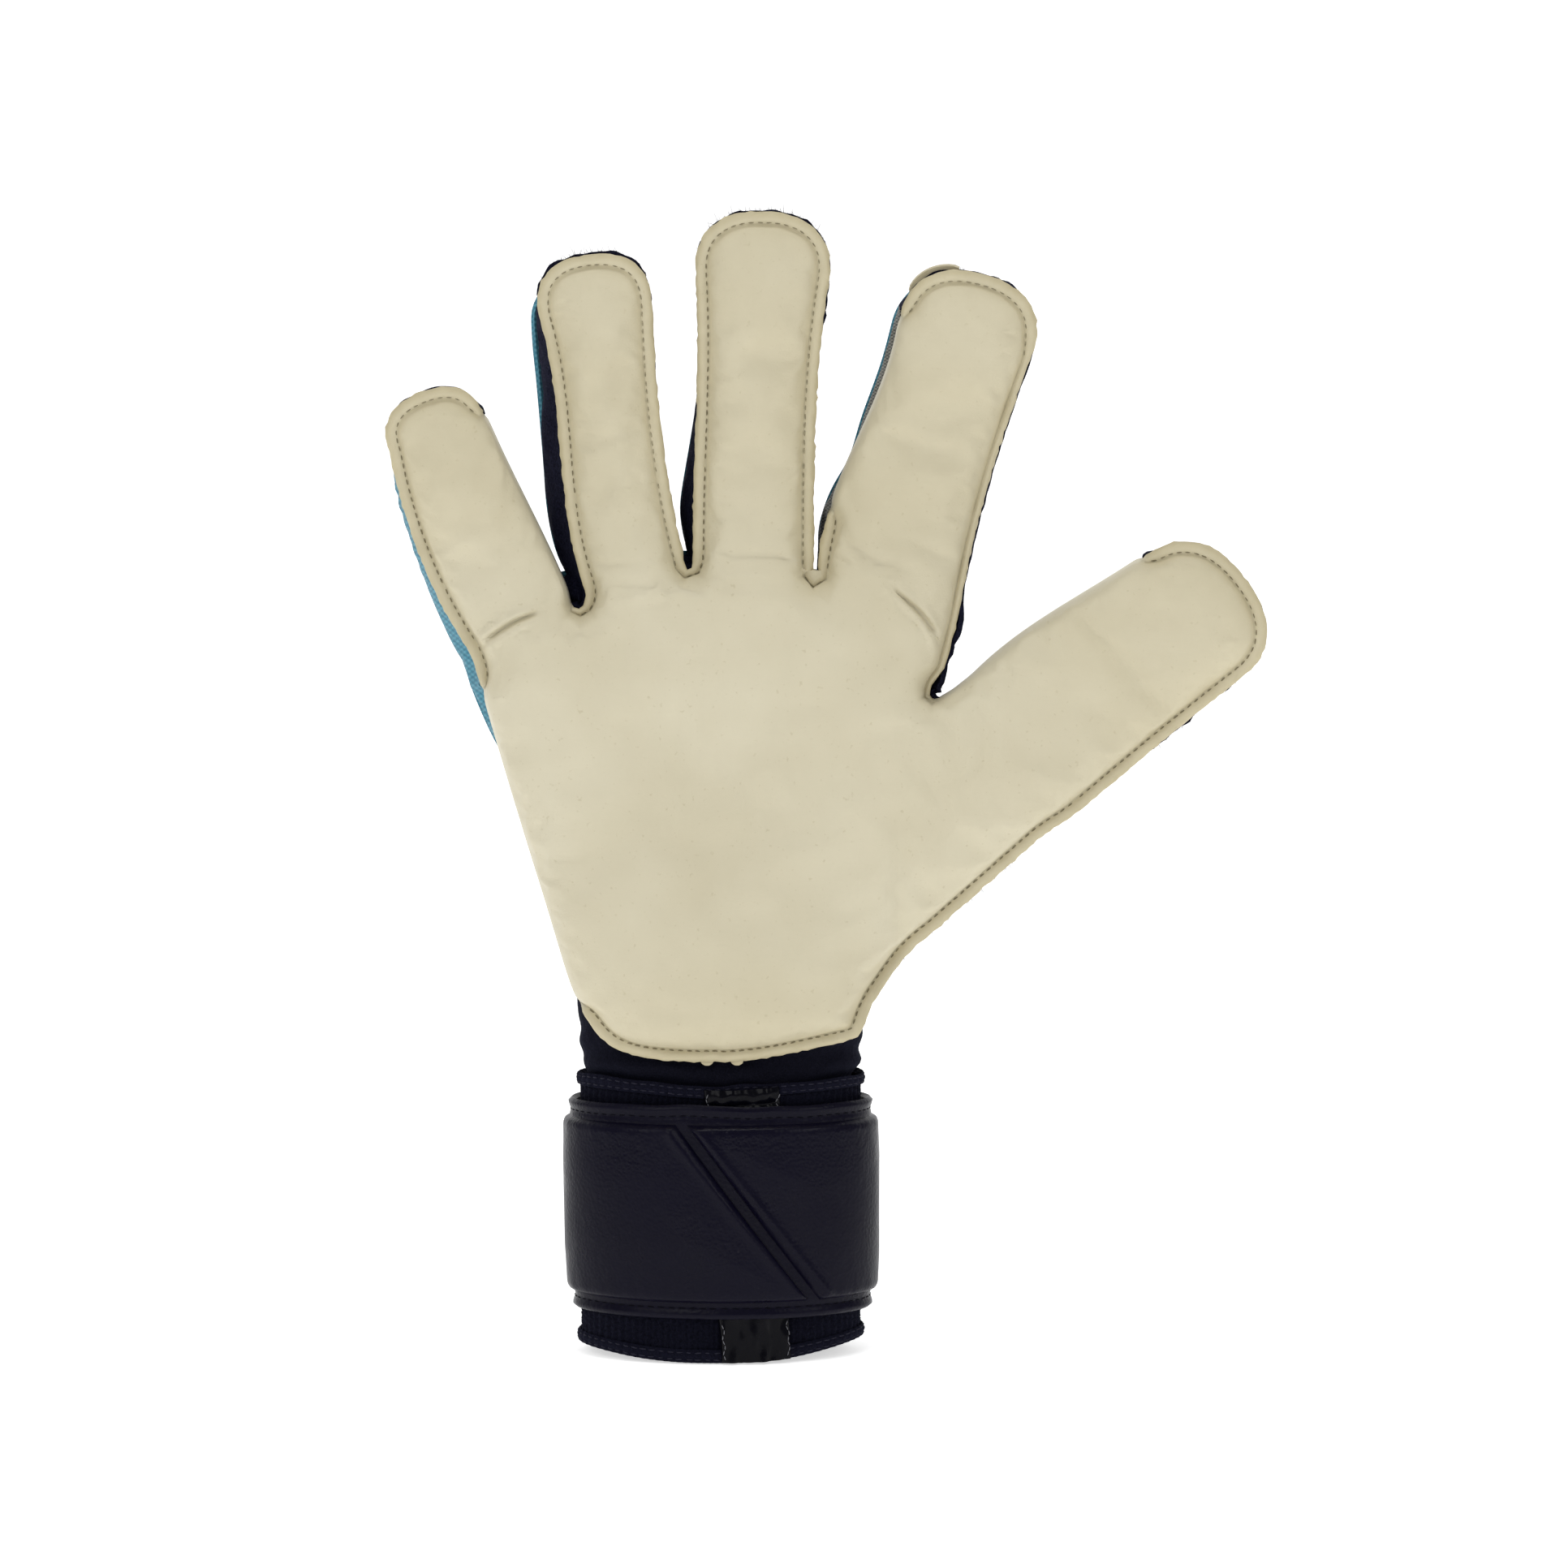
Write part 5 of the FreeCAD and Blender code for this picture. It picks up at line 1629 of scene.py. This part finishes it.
def pull_tab():
    """The ribbed tab past the flap's end. Its root lies under the flap."""
    turn, z = np.meshgrid(np.arange(136.6, TAB_END + 0.1, 0.55), np.arange(TAB_LOW, TAB_HIGH + 0.2, 0.8))
    edge = np.minimum(np.minimum(z - TAB_LOW, TAB_HIGH - z), (TAB_END - turn) * DEGREE)
    bars = 0.5 * np.clip(np.cos((turn - 149) * 2 * math.pi / 4.2), 0, 1)
    bars = bars * smoothstep(edge - 2.0) * smoothstep((turn - 142) / 1.5)
    under = 1.4 * (1 - smoothstep((turn - 139.0) / 1.6))
    grow = FLAP_GROW + BAND_WALL - under + 0.4 * np.sqrt(np.clip(edge / 1.2, 0, 1)) + bars
    piece, _, _ = wrist_sheet("strap_pull_tab_rubber", turn, z, grow, 1.1, "tab")
    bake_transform(piece)
    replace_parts(piece, "strap_pull_tab")


def patch(name, node, start, end, grow, wall, material, body, rough):
    """A hook or loop patch between two angles, with an uneven pile."""
    turn, z = np.meshgrid(np.arange(start, end, 0.7), np.arange(PAD_LOW, PAD_HIGH + 0.2, 0.6))
    tuft = rough * RANDOM.normal(0, 1, turn.shape)
    piece, _, _ = wrist_sheet(name, turn, z, grow + tuft, wall, material)
    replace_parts(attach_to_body(piece, body), node)


def latex_tags():
    """Two small tags of latex left below the palm's lower edge."""
    across = np.linspace(-1.5, 1.5, 9)
    for k, x in enumerate((-3.0, 4.2)):
        z = OUTLINE[outline_index(np.array([x, 72.0])), 1]
        y = -edge_depth(np.array([[x, z]]), FRONT_EDGE, FRONT_WRIST)[0]
        points = []
        for d in np.linspace(1.4, -1.0, 9):
            wide = math.sqrt(max(0.12, 1 - max(0, -d) ** 2))
            points += [(x + a * wide, y + 0.9 - 0.12 * math.cos(a * 1.5), z + d) for a in across]
        normals = np.tile([0.0, -1.0, 0.0], (len(points), 1))
        tag = shell(f"palm_edge_tag_{k + 1}", np.array(points), flipped(grid_faces(9, 9)), normals, 1.2,
                    MATERIALS["latex"], np.full(len(points), 0.8))
        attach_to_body(tag, "palm")


def index_tip_layer():
    """A second layer of latex that shows above the left of the index fingertip."""
    mine = tip_layer_points()
    high = np.sin(math.pi * np.linspace(0, 1, len(mine))) ** 0.5
    rows = []
    for share in (0.0, 0.35, 0.7, 1.0):
        flat = OUTLINE[mine] + NORMAL[mine] * (-1.5 + (1.5 + high) * share)[:, None]
        rows.append(at_depth(flat, -SEAM_DEPTH[mine] + 2.6 - 0.3 * share))
    points = bend_to_curve(np.vstack(rows), np.full(4 * len(mine), SECTION[mine[0]]))
    faces = grid_faces(4, len(mine))
    normals = vertex_normals(points, faces)
    if normals[:, 1].mean() > 0:
        faces, normals = flipped(faces), -normals
    layer = shell("index_tip_second_layer", points, faces, normals, 1.3, MATERIALS["latex"],
                  np.full(len(points), 0.8))
    attach(layer, SECTION[mine[0]])


index_tip_layer()
cuff()
binding("cuff_top_tape", "cuff_top_binding", 65.6, 68.6, 101, 0.7)
binding("cuff_bottom_tape", "cuff_bottom_binding", 0.1, 3.4, 105, 0.0)
sleeve()
seam_strip()
strap_band()
strap_pad("strap_pad_outer_cover", "strap_pad_outer", 165.0, 0.0, 1)
strap_pad("strap_pad_thumb_cover", "strap_pad_thumb", 0.0, 372.0, -1)
strap_flap()
patch("strap_loop_pile", "strap_loop_patch", 84.0, 148.0, BAND_GROW + 0.8, 0.8, "loop", "palm",
      rough=0.10)
patch("strap_hook_tape", "strap_hook_patch", 88.0, 139.0, FLAP_GROW, 0.75, "hook", "strap_flap",
      rough=0.03)
pull_tab()
latex_tags()

# ---- stage, light and camera --------------------------------------------------------------------
TARGET = (0.0155, 0.0, 0.1387)
DISTANCE, ELEVATION, LENS = 1.2, math.radians(3.5), 113.1


def backdrop():
    """A pale floor that curves up into a wall behind the glove. It glows less in front, so that the strap stays
    dark."""
    profile = [(-3.0, 0.0), (1.2, 0.0)]
    for k in range(1, 13):
        a = math.radians(90 * k / 12)
        profile.append((1.2 + 0.8 * math.sin(a), 0.8 - 0.8 * math.cos(a)))
    profile.append((2.0, 4.0))
    points = [(x * 1000, y * 1000, z * 1000 - 0.2) for y, z in profile for x in (-4.0, 4.0)]
    faces = grid_faces(len(profile), 2)
    m, tree, shader = material("paper_white", 0.9, Specular_IOR_Level=0.1)
    where = position(tree)
    tone = ramp(tree, noise(tree, where, 3.0), 0.93, 0.96)
    depth = node(tree, "ShaderNodeSeparateXYZ", {"Vector": where}).outputs["Y"]
    glow = node(tree, "ShaderNodeMapRange", {"Value": depth, "From Min": -1.6, "From Max": -0.5,
                                             "To Min": 0.36, "To Max": 0.62}).outputs["Result"]
    for value, socket in ((tone, "Base Color"), (tone, "Emission Color"), (glow, "Emission Strength")):
        tree.links.new(value, shader.inputs[socket])
    new_piece("paper_backdrop", np.array(points), faces, m)


def area_light(name, place, size, power):
    data = bpy.data.lights.new(name, "AREA")
    data.shape = "RECTANGLE"
    data.size, data.size_y = size
    data.energy = power
    lamp = bpy.data.objects.new(name, data)
    lamp.location = place
    lamp.rotation_euler = (Vector(TARGET) - Vector(place)).to_track_quat("-Z", "Y").to_euler()
    bpy.context.scene.collection.objects.link(lamp)


backdrop()
for softbox in (("key_softbox", (-1.1, -1.7, 1.45), (1.4, 1.1), 12.8),
                ("fill_softbox", (1.15, -0.85, 0.95), (0.6, 0.6), 3.6),
                ("rim_softbox", (-1.2, 0.1, 0.6), (0.5, 1.2), 1.0),
                ("top_softbox", (0.05, -0.25, 1.2), (0.55, 0.28), 3.4)):
    area_light(*softbox)
world = bpy.data.worlds.new("studio")
world.use_nodes = True
background = world.node_tree.nodes["Background"].inputs
background["Color"].default_value = (1.0, 1.0, 1.0, 1)
background["Strength"].default_value = 0.26
bpy.context.scene.world = world

lens = bpy.data.cameras.new("photo_camera")
lens.lens, lens.sensor_width = LENS, 36.0
camera = bpy.data.objects.new("photo_camera", lens)
camera.location = (TARGET[0], -DISTANCE * math.cos(ELEVATION), TARGET[2] + DISTANCE * math.sin(ELEVATION))
camera.rotation_euler = (Vector(TARGET) - camera.location).to_track_quat("-Z", "Y").to_euler()
bpy.context.scene.collection.objects.link(camera)
bpy.context.scene.camera = camera
bpy.context.scene.view_settings.view_transform = "Standard"
